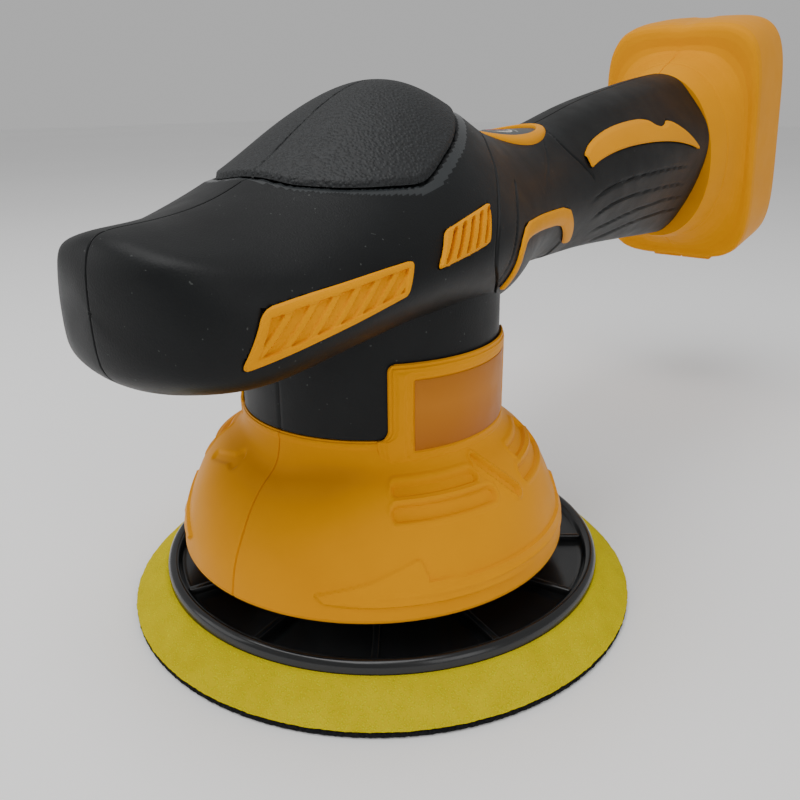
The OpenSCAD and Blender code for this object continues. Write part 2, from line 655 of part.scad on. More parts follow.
// ---------- Backing pad ----------
floor_z = 8.2;
module backing_plate() {
  rim = plate_d / 2;
  color(black) on_pad() difference() {
    union() {
      rotate_extrude() polygon([[0, floor_z], [rim, floor_z], [rim, 12], [rim - 0.5, 13.2], [rim - 1.7, 13.8],
        [rim - 2.9, 13.2], [rim - 3.4, 12], [rim - 4.6, 10.4], [0, 10.4]]);
      rod(15, floor_z, 19);
      for (k = [0:11]) rotate([0, 0, k * 30 + 8]) block([14, -0.9, 10.3], [rim - 3.6, 0.9, 12.4]);
    }
    rod(10, 9.3, 20);
  }
}
module foam_pad() {
  rim = plate_d / 2 + 0.2;
  color("#d9cf00") on_pad() rotate_extrude() polygon([[0, 2], [pad_d / 2, 2], [pad_d / 2 - 0.4, 3], [rim + 0.8, 10.3],
    [rim, 10.3], [rim, floor_z], [0, floor_z]]);
}
module hook_disc() { color(black) on_pad() rod(pad_d / 2 + 0.2, 0, 2); }

// ---------- Electronics ----------
module in_grip() { translate([0, 136, 113]) rotate([7, 0, 0]) children(); }
module controller_board() {
  color("darkgreen") in_grip() {
    block([-15, -32, 0], [15, 32, 1.6]);
    for (x = [-9, 0, 9]) for (y = [-24, -14]) block([x - 3, y - 3, 1.5], [x + 3, y + 3, 3.6]);
    for (y = [8, 20]) translate([8, y, 1.5]) cylinder(r = 4, h = 12);
    block([-11, 4, 1.5], [-2, 13, 2.8]);
  }
}
module heat_sink() {
  color("silver") in_grip() {
    block([-13, -30, -3], [13, 2, -0.05]);
    for (k = [0:5]) block([-13 + 4.9 * k, -30, -10], [-11.5 + 4.9 * k, 2, -2.9]);
  }
}
module housing_screws() {
  color(steel) {
    for (s = concat([head_screw, handle_screw], grip_screws)) screw(s);
    on_foot() for (s = foot_screws) screw(s);
  }
}
module skirt_screws() {
  color(steel) for (s = bell_screws) {
    cross_rod(bell_head_r, bell_seat - s[2] - 1.9, bell_seat - s[2], s);
    cross_rod(bell_shank_r, bell_seat - s[2] - 0.1, 8, s);
  }
}

// Round lead swept along a list of points with eight sides
module lead(path, r) {
  n = 8;
  m = len(path);
  function dir(i) = unit(path[min(i + 1, m - 1)] - path[max(i - 1, 0)]);
  rings = [for (i = [0:m - 1]) let (d = dir(i), a = unit(cross(d, [1, 0, 0.3])), b = cross(d, a))
    [for (k = [0:n - 1]) path[i] + r * (cos(45 * k) * a + sin(45 * k) * b)]];
  polyhedron([for (q = rings) each q], concat(
    [for (i = [0:m - 2]) for (k = [0:n - 1]) let (p = i * n + k, q = i * n + (k + 1) % n)
      each [[p, p + n, q + n], [p, q + n, q]]],
    [[for (k = [0:n - 1]) k]], [[for (k = [n - 1:-1:0]) (m - 1) * n + k]]));
}
function smooth_path(P, n) = [for (k = [0:n]) spline(open_ends(P), k * (len(P) - 1) / n)];
module battery_leads() {
  for (s = [-1, 1]) color(s > 0 ? "firebrick" : black)
    lead(smooth_path([[8 * s, 222, 131], [8 * s, 210, 131], [7 * s, 198, 127], [6 * s, 186, 122],
                      [5 * s, 176, 120.5], [5 * s, 170, 119.8]], 14), 1.3);
}
module motor_leads() {
  for (s = [-1, 0, 1]) color(["firebrick", "gold", "royalblue"][s + 1])
    lead(smooth_path([[9 * s, 101, 112], [8 * s, 90, 111], [6 * s, 74, 108], [4 * s, 56, 105], [3 * s, 40, 104],
                      [2.6 * s, 30, 102], [2.6 * s, 27, 96], [2.6 * s, 27, 89.6]], 18), 1.1);
}

head_left();
head_right();
handle_left();
handle_right();
grip_left();
grip_right();
foot_left();
foot_right();
palm_pad_left();
palm_pad_right();
side_grille_left();
side_grille_right();
side_vent_left();
side_vent_right();
hook_trim_left();
hook_trim_right();
crescent_trim_left();
crescent_trim_right();
neck_left();
neck_right();
skirt_left();
skirt_right();
label_plate_left();
label_plate_right();
button_bezel();
button_membrane();
power_button();
switch_board();
motor_stator();
motor_windings();
upper_bearing_cap();
upper_bearing();
bearing_plate();
lower_bearing();
controller_board();
heat_sink();
battery_leads();
motor_leads();
battery_plate();
terminal_block();
terminal_blades();
housing_screws();
skirt_screws();
bearing_plate_screws();
motor_shaft();
rotor_core();
rotor_magnets();
cooling_fan();
eccentric_hub();
counterweight();
pad_bearings();
pad_spindle();
spindle_circlip();
thread_insert();
backing_plate();
foam_pad();
hook_disc();
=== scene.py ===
import json
import math

import bpy
import numpy as np
from mathutils import Matrix, Vector


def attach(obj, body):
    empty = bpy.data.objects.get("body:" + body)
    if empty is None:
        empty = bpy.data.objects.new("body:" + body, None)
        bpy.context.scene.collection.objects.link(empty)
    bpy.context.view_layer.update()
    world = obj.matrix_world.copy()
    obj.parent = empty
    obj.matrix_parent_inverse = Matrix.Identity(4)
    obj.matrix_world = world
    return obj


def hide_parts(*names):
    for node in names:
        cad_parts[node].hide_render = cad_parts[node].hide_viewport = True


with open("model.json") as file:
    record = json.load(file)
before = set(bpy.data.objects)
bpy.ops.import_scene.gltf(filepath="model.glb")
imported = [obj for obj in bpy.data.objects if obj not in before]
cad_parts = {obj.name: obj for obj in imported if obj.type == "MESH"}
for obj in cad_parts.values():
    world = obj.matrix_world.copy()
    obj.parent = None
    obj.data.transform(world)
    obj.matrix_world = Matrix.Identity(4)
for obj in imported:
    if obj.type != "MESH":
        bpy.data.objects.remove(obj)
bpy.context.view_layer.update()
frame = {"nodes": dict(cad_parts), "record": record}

MM = 0.001

# ---------------------------------------------------------------- sizes, in millimetres
PAD_R, FOAM_TOP_R, ORBIT = 75.0, 65.8, 4.0
PLATE_R = 65.0
NECK_Z, NECK_TOP, NECK_R = 60.5, 90.0, 36.2
FRAME_R, FRAME_LOW, FRAME_TOP, FRAME_HALF, LABEL_HALF = 37.6, 54.6, 80.5, 43.0, 33.0
WALL, SEAM, GRIP_Y, LIFT = 2.2, 0.4, 87.0, 0.15
FOOT_ORIGIN, FOOT_TILT = (0.0, 191.5, 114.9), 10.0
PANEL_W, PANEL_L, PANEL_Y = 12.5, 24.0, 61.5

# Rib across the body: y, roof height, shoulder (x, z), side (x, z), lower edge (x, z), floor height,
# crown of the roof, rounding of the shoulder and of the lower edge, sweep of the nose
RIBS = [
    (-84.4, 112, 15, 110, 20, 101, 18, 91, 89, 0.5, 2, 2.5, 9),
    (-82.5, 117, 19, 113, 27, 101, 25, 88, 85.5, 0.5, 2, 3, 9),
    (-76, 118, 25, 111.5, 32, 101, 30, 86, 81, 0.5, 3, 4, 7),
    (-64, 119, 31, 110, 35.5, 100, 34.5, 87, 77.5, 0.5, 4, 5, 3),
    (-50, 121.5, 35, 112.5, 39, 100, 37.5, 90, 79, 1, 5, 5, 0),
    (-34, 129, 38, 115.5, 41.5, 103, 40, 92, 84, 3, 6, 6, 0),
    (-18, 141, 39.5, 117, 43, 105, 41, 93, 88, 7, 7, 7, 0),
    (0, 149, 38.5, 120, 43, 106, 41, 92, 86, 9, 8, 8, 0),
    (18, 146, 34, 122, 40, 106, 37, 88, 82, 7, 8, 8, 0),
    (34, 135.5, 28, 121, 33, 106, 30, 88, 82, 5, 7, 7, 0),
    (50, 130.5, 24, 122, 28, 106, 23, 92, 85, 3, 6, 6, 0),
    (68, 130.5, 20, 123, 24.5, 107, 19, 93, 86.5, 3, 6, 6, 0),
    (86, 132.5, 19, 124, 23.5, 108, 18, 93, 87, 4, 6, 6, 0),
    (110, 139, 18, 130, 24, 113, 18, 95, 86.5, 5, 6, 6, 0),
    (135, 143.5, 19, 133, 25, 116, 18, 95, 85, 5, 7, 7, 0),
    (160, 147.5, 19, 136, 25, 120, 17, 96, 83, 5, 7, 7, 0),
    (182, 150, 19, 139, 24.5, 122, 16, 97, 81, 5, 7, 7, 0),
    (202, 151.5, 19, 140, 24.5, 123, 16, 97, 80, 5, 7, 7, 0),
]
NOSE_Y, NOSE_Z = -84.8, 101.0

# Plan outline (x, y) of the head's rear edge, from the middle outwards
HEAD_EDGE = [(0, 36), (10, 33.5), (17, 28.5), (22.7, 22.4), (27.2, 18.5), (31, 14.7), (37, 6.5),
             (40.3, 1.7), (42.4, -2.6), (46, -8)]
# Palm pad outline in plan (x, y), right side, front to rear
PAD_EDGE = [(0, -40.6), (9, -40.2), (13, -39.3), (17, -37.2), (21, -34.5), (24, -31.5), (26.5, -28), (28.8, -23.5),
            (30.6, -18.5), (31, -15), (30.4, -11), (29, -6), (26, 3), (21.5, 11), (15.5, 18), (8, 24), (0, 28)]
# Inserts in side view (y, z): upper and lower rails
GRILLE = ([(-67, 103), (-59, 104.6), (-51, 105.8), (-41, 107.2), (-31.5, 108.2)],
          [(-71.5, 90.5), (-63.5, 93.2), (-55.5, 95.9), (-45, 98.8), (-35, 101.3)])
VENT = ([(-19.5, 112.6), (-9.5, 114.8), (1.5, 116.8)], [(-25.5, 105.2), (-16, 106.6), (-5.5, 108.3)])
HOOK = ([(8.4, 94.5), (9.2, 99), (12, 105.8), (19, 110), (33, 109.5), (47, 109.1), (68, 108.5), (73.5, 103.6),
         (83, 95.5)],
        [(11, 94.5), (12.2, 98.5), (14.5, 104.6), (19.5, 106.2), (32.5, 105.5), (47.5, 104.5), (61.8, 103.6),
         (67.5, 101), (77, 95.4)])
CRESCENT = ([(88.5, 122.6), (96, 126.4), (110, 130.2), (125, 132.2), (138, 132.8), (143, 129.8),
             (149, 129.8), (153, 132.4), (163, 128.6), (176, 121.4)],
            [(88.5, 118.2), (95, 120.2), (106, 122.4), (118, 123.8), (130, 124.4), (139, 124.5),
             (148, 124.3), (157, 123.6), (167, 122.2), (176.4, 120.4)])


# ---------------------------------------------------------------- body surface
def basis(t, count):
    """Cubic B-spline weights at t, and the first of the four control points they use."""
    i = np.clip(np.floor(t).astype(int), 0, count - 4)
    f = t - i
    w = np.stack([(1 - f) ** 3, 3 * f ** 3 - 6 * f ** 2 + 4, -3 * f ** 3 + 3 * f ** 2 + 3 * f + 1, f ** 3], -1) / 6
    return i, w


def rib_points(s):
    y, top_z, xs, zs, xw, zw, xl, zl, low_z, crown, r_sh, r_low, sweep = s
    top, sh, side = np.array([0, top_z]), np.array([xs, zs]), np.array([xw, zw])
    low, bottom = np.array([xl, zl]), np.array([0, low_z])

    def toward(a, b, r):
        return a + (b - a) * r / np.linalg.norm(b - a)

    roof = (top + sh) / 2 + [0, 0.6 * crown]
    belly = (low + bottom) / 2 - [0, 0.3 * crown]
    pts = [top, roof, toward(sh, top, r_sh), toward(sh, side, r_sh), side,
           toward(low, side, r_low), toward(low, bottom, r_low), belly, bottom]
    return np.array([(p[0], y + sweep * (p[0] / 30) ** 2, p[1]) for p in pts])


def make_net():
    ribs = np.array([rib_points(s) for s in RIBS])
    pole = np.tile([[0, NOSE_Y, NOSE_Z]], (9, 1)).astype(float)
    ring = ribs[0].copy()
    ring[:, 0] /= 2
    ring[:, 1] = NOSE_Y + (ring[:, 1] - RIBS[0][0]) / 4
    ring[:, 2] = (ring[:, 2] + NOSE_Z) / 2
    net = np.concatenate([[pole], [ring], ribs])
    flip = np.array([-1, 1, 1])
    net = np.concatenate([net[:, 1:2] * flip, net, net[:, -2:-1] * flip], 1)
    return np.concatenate([[2 * net[0] - net[1]], net, [2 * net[-1] - net[-2]]])


NET = make_net()
U_END = float(len(RIBS) + 1)


def surface(u, v):
    """Points of the body's right half; u runs from nose to rear, v from 0 (top) to 8 (bottom)."""
    u, v = np.broadcast_arrays(np.asarray(u, float), np.asarray(v, float))
    iu, wu = basis(u, NET.shape[0])
    iv, wv = basis(v, NET.shape[1])
    out = np.zeros(u.shape + (3,))
    for a in range(4):
        for b in range(4):
            out += (wu[..., a] * wv[..., b])[..., None] * NET[iu + a, iv + b]
    return out


def normals(u, v):
    w = np.clip(v, 0.03, 7.97)
    u = np.clip(u, 0.03, U_END)
    du = surface(u + 0.02, w) - surface(u - 0.02, w)
    dv = surface(u, w - 0.02) - surface(u, w + 0.02)
    n = np.cross(du, dv)
    n /= np.maximum(np.linalg.norm(n, axis=-1, keepdims=True), 1e-9)
    edge = np.clip(np.minimum(v, 8 - v) / 0.03, 0, 1)
    n[..., 0] *= edge
    return n / np.linalg.norm(n, axis=-1, keepdims=True)


def solve_u(v, goal, lo=0.5, hi=U_END):
    """u at which goal(point) turns positive, for each v."""
    lo, hi = np.full(v.shape, lo), np.full(v.shape, hi)
    for _ in range(40):
        mid = (lo + hi) / 2
        below = goal(surface(mid, v)) < 0
        lo, hi = np.where(below, mid, lo), np.where(below, hi, mid)
    return (lo + hi) / 2


def solve_v(u, axis, value, sign, a, b):
    lo, hi = np.full(u.shape, float(a)), np.full(u.shape, float(b))
    for _ in range(36):
        mid = (lo + hi) / 2
        before = sign * surface(u, mid)[..., axis] < sign * value
        lo, hi = np.where(before, mid, lo), np.where(before, hi, mid)
    return (lo + hi) / 2


def uv_flank(y, z):
    """u and v of the flank point at side-view (y, z); y depends a little on v where the nose is swept."""
    v = np.full(y.shape, 4.0)
    for _ in range(4):
        u = solve_u(v, lambda p: p[..., 1] - y)
        v = solve_v(u, 2, z, -1, 1, 7)
    return u, v


def uv_roof(x, y):
    v = np.full(y.shape, 1.0)
    for _ in range(4):
        u = solve_u(v, lambda p: p[..., 1] - y)
        v = solve_v(u, 0, x, 1, 0, 3.6)
    return u, v


# ---------------------------------------------------------------- flat outlines and smooth steps
def smooth(x, a, b):
    t = np.clip((x - a) / (b - a), 0, 1)
    return t * t * (3 - 2 * t)


def segment_distance(px, py, pts):
    d = np.full(px.shape, 1e9)
    for (ax, ay), (bx, by) in zip(pts[:-1], pts[1:]):
        ex, ey = bx - ax, by - ay
        t = np.clip(((px - ax) * ex + (py - ay) * ey) / (ex * ex + ey * ey + 1e-12), 0, 1)
        d = np.minimum(d, np.hypot(px - ax - t * ex, py - ay - t * ey))
    return d


def outline_distance(px, py, pts):
    """Signed distance to a closed outline, negative inside."""
    loop = list(pts) + [pts[0]]
    inside = np.zeros(px.shape, bool)
    for (ax, ay), (bx, by) in zip(loop[:-1], loop[1:]):
        hit = ((ay > py) != (by > py)) & (px < (bx - ax) * (py - ay) / (by - ay + 1e-12) + ax)
        inside ^= hit
    d = segment_distance(px, py, loop)
    return np.where(inside, -d, d)


def rounded(pts, rounds=3):
    """Corner cutting of an open polyline, which turns straight runs into a smooth curve."""
    pts = [np.array(p, float) for p in pts]
    for _ in range(rounds):
        out = [pts[0]]
        for a, b in zip(pts[:-1], pts[1:]):
            out += [a * 0.75 + b * 0.25, a * 0.25 + b * 0.75]
        pts = out + [pts[-1]]
    return [tuple(p) for p in pts]


def closed_rails(rails):
    return list(rails[0]) + list(reversed(rails[1]))


# ---------------------------------------------------------------- node materials
def rgb(hex_code):
    """Linear colour of an sRGB hex code."""
    c = [int(hex_code[i:i + 2], 16) / 255 for i in (1, 3, 5)]
    return tuple(x / 12.92 if x <= 0.04045 else ((x + 0.055) / 1.055) ** 2.4 for x in c) + (1.0,)


def add(mat, kind, links=None, **settings):
    """Adds a node, sets its properties and unlinked inputs, and links the named inputs."""
    tree = mat.node_tree
    n = tree.nodes.new(kind)
    for key, value in settings.items():
        if hasattr(n, key) and key not in n.inputs:
            setattr(n, key, value)
        else:
            n.inputs[key.replace("_", " ")].default_value = value
    for key, source in (links or {}).items():
        tree.links.new(source, n.inputs[key])
    return n


def new_material(name):
    mat = bpy.data.materials.new(name)
    mat.use_nodes = True
    mat.node_tree.nodes.clear()
    return mat


def where(mat):
    return add(mat, "ShaderNodeTexCoord").outputs["Object"]


def noise(mat, size_mm, detail=2.0, rough=0.5, at=None):
    """Noise whose features are about size_mm across."""
    return add(mat, "ShaderNodeTexNoise", {"Vector": at or where(mat)}, Scale=1.0 / (size_mm * MM),
               Detail=detail, Roughness=rough).outputs["Fac"]


def ramp(mat, fac, stops):
    n = add(mat, "ShaderNodeValToRGB", {"Fac": fac})
    while len(n.color_ramp.elements) < len(stops):
        n.color_ramp.elements.new(0.5)
    for e, (pos, col) in zip(n.color_ramp.elements, stops):
        e.position, e.color = pos, col if len(col) == 4 else (*col, 1)
    return n.outputs["Color"]


def grey(x):
    return (x, x, x, 1.0)


def math_node(mat, op, a, b=None):
    n = add(mat, "ShaderNodeMath", operation=op)
    for i, x in enumerate((a, b)):
        if x is None:
            continue
        if isinstance(x, (int, float)):
            n.inputs[i].default_value = x
        else:
            mat.node_tree.links.new(x, n.inputs[i])
    return n.outputs[0]


def bump(mat, height, strength, depth_mm, under=None):
    links = {"Height": height}
    if under is not None:
        links["Normal"] = under
    return add(mat, "ShaderNodeBump", links, Strength=strength, Distance=depth_mm * MM).outputs["Normal"]


def surface_out(mat, colour, rough, normal=None, **settings):
    links = {}
    if not isinstance(colour, tuple):
        links["Base Color"] = colour
    if not isinstance(rough, float):
        links["Roughness"] = rough
    if normal is not None:
        links["Normal"] = normal
    n = add(mat, "ShaderNodeBsdfPrincipled", links)
    if isinstance(colour, tuple):
        n.inputs["Base Color"].default_value = colour
    if isinstance(rough, float):
        n.inputs["Roughness"].default_value = rough
    for key, value in settings.items():
        n.inputs[key.replace("_", " ")].default_value = value
    add(mat, "ShaderNodeOutputMaterial", {"Surface": n.outputs["BSDF"]})
    return mat


def moulded(name, base, worn, grain_mm, grain, rough, dust=0.0, **settings):
    """Injection-moulded plastic: spark texture, uneven gloss and, if asked, a few specks of dust."""
    mat = new_material(name)
    cloud = noise(mat, 22, 3)
    colour = ramp(mat, cloud, [(0.3, rgb(base)), (0.75, rgb(worn))])
    fine = noise(mat, grain_mm, 2, 0.6)
    low, high = rough
    gloss = ramp(mat, noise(mat, 9, 3), [(0.3, grey(low)), (0.7, grey(high))])
    if dust:
        specks = ramp(mat, noise(mat, 0.8, 0), [(0.0, grey(0)), (0.83, grey(0)), (0.85, grey(dust))])
        colour = add(mat, "ShaderNodeMixRGB", {"Fac": specks, "Color1": colour}, Color2=rgb("#8f938f")).outputs[0]
    return surface_out(mat, colour, gloss, bump(mat, fine, grain, 0.12), **settings)


def metal(name, colour, rough, streak=(1, 1, 12), size_mm=1.2, strength=0.15):
    """Machined or drawn metal with fine directional marks."""
    mat = new_material(name)
    at = add(mat, "ShaderNodeMapping", {"Vector": where(mat)}, Scale=streak).outputs[0]
    marks = noise(mat, size_mm, 3, 0.6, at)
    gloss = ramp(mat, marks, [(0.3, grey(rough * 0.8)), (0.7, grey(min(1.0, rough * 1.3)))])
    return surface_out(mat, rgb(colour), gloss, bump(mat, marks, strength, 0.05), Metallic=1.0)


def foam_material():
    # open-cell polyurethane foam: rounded pores about 0.8 mm across, dusty and fully matt
    mat = new_material("polyurethane_foam")
    cells = add(mat, "ShaderNodeTexVoronoi", {"Vector": where(mat)}, Scale=1 / (0.75 * MM), Randomness=1.0)
    pores = ramp(mat, cells.outputs["Distance"], [(0.12, grey(0)), (0.5, grey(1))])
    tint = ramp(mat, noise(mat, 6, 3), [(0.25, rgb("#c9bd00")), (0.8, rgb("#d6cc02"))])
    colour = add(mat, "ShaderNodeMixRGB", {"Fac": pores, "Color1": tint}, blend_type="MULTIPLY",
                 Color2=rgb("#f2e650")).outputs[0]
    n = bump(mat, pores, 0.6, 0.35)
    return surface_out(mat, colour, 0.95, bump(mat, noise(mat, 0.35, 2), 0.5, 0.2, n), Specular_IOR_Level=0.03)


def hook_material():
    # hook-and-loop face: short nylon loops in a tight pile
    mat = new_material("hook_fabric")
    pile = noise(mat, 0.5, 3, 0.8)
    colour = ramp(mat, pile, [(0.35, rgb("#0c0c0d")), (0.7, rgb("#2a2a2c"))])
    return surface_out(mat, colour, 0.95, bump(mat, pile, 0.9, 0.6), Specular_IOR_Level=0.1)


def rubber_material():
    # soft over-moulded elastomer with a coarse leathery grain about 0.8 mm across
    mat = new_material("overmoulded_rubber")
    cells = add(mat, "ShaderNodeTexVoronoi", {"Vector": where(mat)}, feature="SMOOTH_F1", Scale=1 / (0.85 * MM),
                Smoothness=0.4, Randomness=1.0)
    dots = ramp(mat, cells.outputs["Distance"], [(0.1, grey(1)), (0.62, grey(0))])
    colour = ramp(mat, noise(mat, 0.8, 2), [(0.3, rgb("#0f1011")), (0.75, rgb("#1f2224"))])
    n = bump(mat, dots, 0.65, 0.28)
    return surface_out(mat, colour, 0.62, bump(mat, noise(mat, 0.3, 2), 0.35, 0.1, n), Specular_IOR_Level=0.42)


def foil_material():
    # metallised label film: satin copper tone with a painted reflection that darkens towards its lower edge, no print
    mat = new_material("label_foil")
    z = add(mat, "ShaderNodeSeparateXYZ", {"Vector": where(mat)}).outputs["Z"]
    rise = add(mat, "ShaderNodeMapRange", {"Value": z}, From_Min=58 * MM, From_Max=76 * MM).outputs[0]
    # painted reflection: the copper is lightest a little above the middle of the label and darker towards its lower
    # and upper edges
    colour = ramp(mat, rise, [(0.0, rgb("#a86212")), (0.6, rgb("#b97218")), (1.0, rgb("#ac6812"))])
    gloss = ramp(mat, noise(mat, 5, 2), [(0.3, grey(0.36)), (0.7, grey(0.46))])
    film = bump(mat, noise(mat, 0.4, 2), 0.08, 0.03)
    return surface_out(mat, colour, gloss, film, Metallic=0.15, Specular_IOR_Level=0.2)


def panel_material():
    # printed polyester film: dark grey with a white ring and a red power sign painted on it
    mat = new_material("panel_film")
    xyz = add(mat, "ShaderNodeSeparateXYZ", {"Vector": where(mat)})
    x = math_node(mat, "MULTIPLY", xyz.outputs["X"], 1 / MM)
    y = math_node(mat, "SUBTRACT", math_node(mat, "MULTIPLY", xyz.outputs["Y"], 1 / MM), PANEL_Y)
    squares = [math_node(mat, "MULTIPLY", q, q) for q in (x, y)]
    r = math_node(mat, "SQRT", math_node(mat, "ADD", *squares))

    def band(value, middle, half):
        off = math_node(mat, "ABSOLUTE", math_node(mat, "SUBTRACT", value, middle))
        return math_node(mat, "LESS_THAN", off, half)

    white = band(r, 4.9, 0.55)
    arc = math_node(mat, "MULTIPLY", band(r, 7.0, 0.35), math_node(mat, "GREATER_THAN", y, 4.2))
    gap = math_node(mat, "MULTIPLY", band(x, 0.0, 0.9), math_node(mat, "GREATER_THAN", y, 0.0))
    sign = math_node(mat, "MULTIPLY", band(r, 2.6, 0.5), math_node(mat, "SUBTRACT", 1.0, gap))
    stem = math_node(mat, "MULTIPLY", band(x, 0.0, 0.42), band(y, 2.4, 1.5))
    red = math_node(mat, "MAXIMUM", sign, stem)
    colour = add(mat, "ShaderNodeMixRGB", {"Fac": arc}, Color1=rgb("#3a3b3a"), Color2=rgb("#8c8d8a")).outputs[0]
    colour = add(mat, "ShaderNodeMixRGB", {"Fac": white, "Color1": colour}, Color2=rgb("#c9c6c2")).outputs[0]
    colour = add(mat, "ShaderNodeMixRGB", {"Fac": red, "Color1": colour}, Color2=rgb("#a8323c")).outputs[0]
    return surface_out(mat, colour, 0.42, bump(mat, noise(mat, 0.6, 2), 0.12, 0.05))


def board_material():
    # glass-epoxy circuit board with solder mask, faint copper pour showing through
    mat = new_material("solder_mask")
    at = where(mat)
    grid = add(mat, "ShaderNodeTexBrick", {"Vector": at}, Scale=1 / (6 * MM), Mortar_Size=0.04,
               Color1=rgb("#0d3a22"), Color2=rgb("#12472b"), Mortar=rgb("#1f6a40"))
    return surface_out(mat, grid.outputs["Color"], 0.35, bump(mat, grid.outputs["Fac"], 0.2, 0.05))


def sleeve_material():
    # heat-shrink and silicone sleeving over stranded leads
    mat = new_material("lead_sleeve")
    colour = ramp(mat, noise(mat, 3, 2), [(0.3, rgb("#7a1512")), (0.7, rgb("#921d18"))])
    return surface_out(mat, colour, 0.5, bump(mat, noise(mat, 0.8, 2), 0.1, 0.05))


MATS = {
    # glass-filled nylon, spark-eroded finish
    "black_housing": moulded("glass_filled_nylon", "#0d0e0f", "#131516", 0.42, 0.5, (0.42, 0.50), dust=0.15,
                             Specular_IOR_Level=0.2),
    "soft_grip": moulded("grip_nylon", "#0c0d0d", "#121313", 0.45, 0.55, (0.46, 0.56), dust=0.15,
                         Specular_IOR_Level=0.25),
    # bevel band: the head's own black nylon painted a lighter grey, a painted highlight along the polished edge round
    # the palm pad
    "bevel_band": moulded("nylon_edge_painted_highlight", "#1c1f21", "#222628", 0.5, 0.05, (0.26, 0.32)),
    # acrylonitrile butadiene styrene, self-coloured, satin mould finish
    "yellow_housing": moulded("moulded_abs", "#d98e00", "#e09400", 0.5, 0.10, (0.40, 0.48), Specular_IOR_Level=0.1,
                              Specular_Tint=rgb("#ffb400")),
    "gloss_black_plate": moulded("polypropylene_plate", "#0f1011", "#161718", 0.8, 0.05, (0.16, 0.26)),
    "fan_plastic": moulded("fan_polyamide", "#1b1c1e", "#232527", 0.6, 0.15, (0.45, 0.55)),
    "black_insert": moulded("terminal_phenolic", "#101112", "#17181a", 0.5, 0.2, (0.5, 0.6)),
    "red_button": moulded("button_silicone", "#7c1f26", "#8e262e", 0.5, 0.15, (0.5, 0.6)),
    "label_foil": foil_material(),
    "panel_film": panel_material(),
    "circuit_board": board_material(),
    "lead_sleeve": sleeve_material(),
    "lime_foam": foam_material(),
    "hook_fabric": hook_material(),
    "rubber": rubber_material(),
    # laminated silicon steel, stamped
    "electrical_steel": metal("electrical_steel", "#7f8489", 0.42, (1, 1, 30), 2.0, 0.35),
    # enamelled copper winding wire
    "copper": metal("enamelled_copper", "#b0602c", 0.32, (1, 1, 25), 1.4, 0.4),
    "cast_alloy": metal("die_cast_aluminium", "#9fa3a6", 0.5, (1, 1, 1), 1.0, 0.25),
    "bearing_steel": metal("ground_bearing_steel", "#b9bcbe", 0.18, (1, 1, 8), 0.8, 0.05),
    "machined_steel": metal("turned_steel", "#a5a8aa", 0.28, (1, 1, 20), 1.2, 0.15),
    "magnet": metal("nickel_plated_magnet", "#8f9294", 0.3, (1, 1, 4), 2.0, 0.05),
    "sink_alloy": metal("anodised_heat_sink", "#6f7376", 0.4, (1, 12, 1), 1.0, 0.12),
    "screw_steel": metal("zinc_plated_screw", "#8d8f90", 0.35, (4, 1, 1), 0.8, 0.15),
    "brass_insert": metal("turned_brass", "#b8924a", 0.28, (1, 1, 14), 0.9, 0.12),
}


# ---------------------------------------------------------------- meshes from primitive grids
def deselect():
    bpy.ops.object.select_all(action="DESELECT")


def activate(ob):
    deselect()
    ob.select_set(True)
    bpy.context.view_layer.objects.active = ob


def edit(ob, action):
    activate(ob)
    bpy.ops.object.mode_set(mode="EDIT")
    action()
    bpy.ops.object.mode_set(mode="OBJECT")


def apply_modifiers(ob):
    activate(ob)
    for m in list(ob.modifiers):
        bpy.ops.object.modifier_apply(modifier=m.name)


def read(ob, what, size):
    out = np.empty(len(getattr(ob.data, what)) * size)
    getattr(ob.data, what).foreach_get({"vertices": "co", "polygons": "center"}[what], out)
    return out.reshape(-1, size)


def finish_piece(ob, name, node, material, body="housing", more=()):
    """Name, finish, shading and the CAD node that this piece stands for."""
    ob.name = ob.data.name = name
    ob.data.materials.clear()
    for key in (material, *more):
        ob.data.materials.append(MATS[key])
    activate(ob)
    bpy.ops.object.shade_smooth_by_angle(angle=math.radians(38))
    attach(ob, body)
    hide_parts(node)
    return ob


def bent_grid(cells, place, thick=0.0, weld=0.0, side=1, drop=None, turned=True):
    """A primitive grid whose every point (s, t) goes to place(s, t) in millimetres.

    side -1 mirrors it to the left half; drop(centres) picks faces to take out; thick is added inwards;
    turned says that s crossed with t points into the object on the right half.
    """
    deselect()
    bpy.ops.mesh.primitive_grid_add(x_subdivisions=cells[0], y_subdivisions=cells[1], size=2)
    ob = bpy.context.object
    flat = read(ob, "vertices", 3)
    pts = place((flat[:, 0] + 1) / 2, (flat[:, 1] + 1) / 2) * [side, 1, 1]
    ob.data.vertices.foreach_set("co", (pts * MM).ravel())
    ob.data.update()
    if (side > 0) == turned:
        edit(ob, lambda: (bpy.ops.mesh.select_all(action="SELECT"), bpy.ops.mesh.flip_normals()))
    if weld:
        edit(ob, lambda: (bpy.ops.mesh.select_all(action="SELECT"), bpy.ops.mesh.remove_doubles(threshold=weld * MM)))
    if drop is not None:
        ob.data.polygons.foreach_set("select", drop(read(ob, "polygons", 3) / MM))
        ob.data.vertices.foreach_set("select", np.zeros(len(ob.data.vertices), bool))
        ob.data.edges.foreach_set("select", np.zeros(len(ob.data.edges), bool))
        activate(ob)
        bpy.ops.object.mode_set(mode="EDIT")
        bpy.ops.mesh.select_mode(type="FACE")
        bpy.ops.mesh.delete(type="FACE")
        bpy.ops.object.mode_set(mode="OBJECT")
    if thick:
        m = ob.modifiers.new("wall", "SOLIDIFY")
        m.thickness, m.offset, m.use_rim = thick * MM, -1, True
        apply_modifiers(ob)
    return ob


def outward(ob):
    """Turns all normals outwards."""
    edit(ob, lambda: (bpy.ops.mesh.select_all(action="SELECT"), bpy.ops.mesh.normals_make_consistent(inside=False)))


def join(obs):
    activate(obs[0])
    for o in obs[1:]:
        o.select_set(True)
    bpy.ops.object.join()
    return bpy.context.object


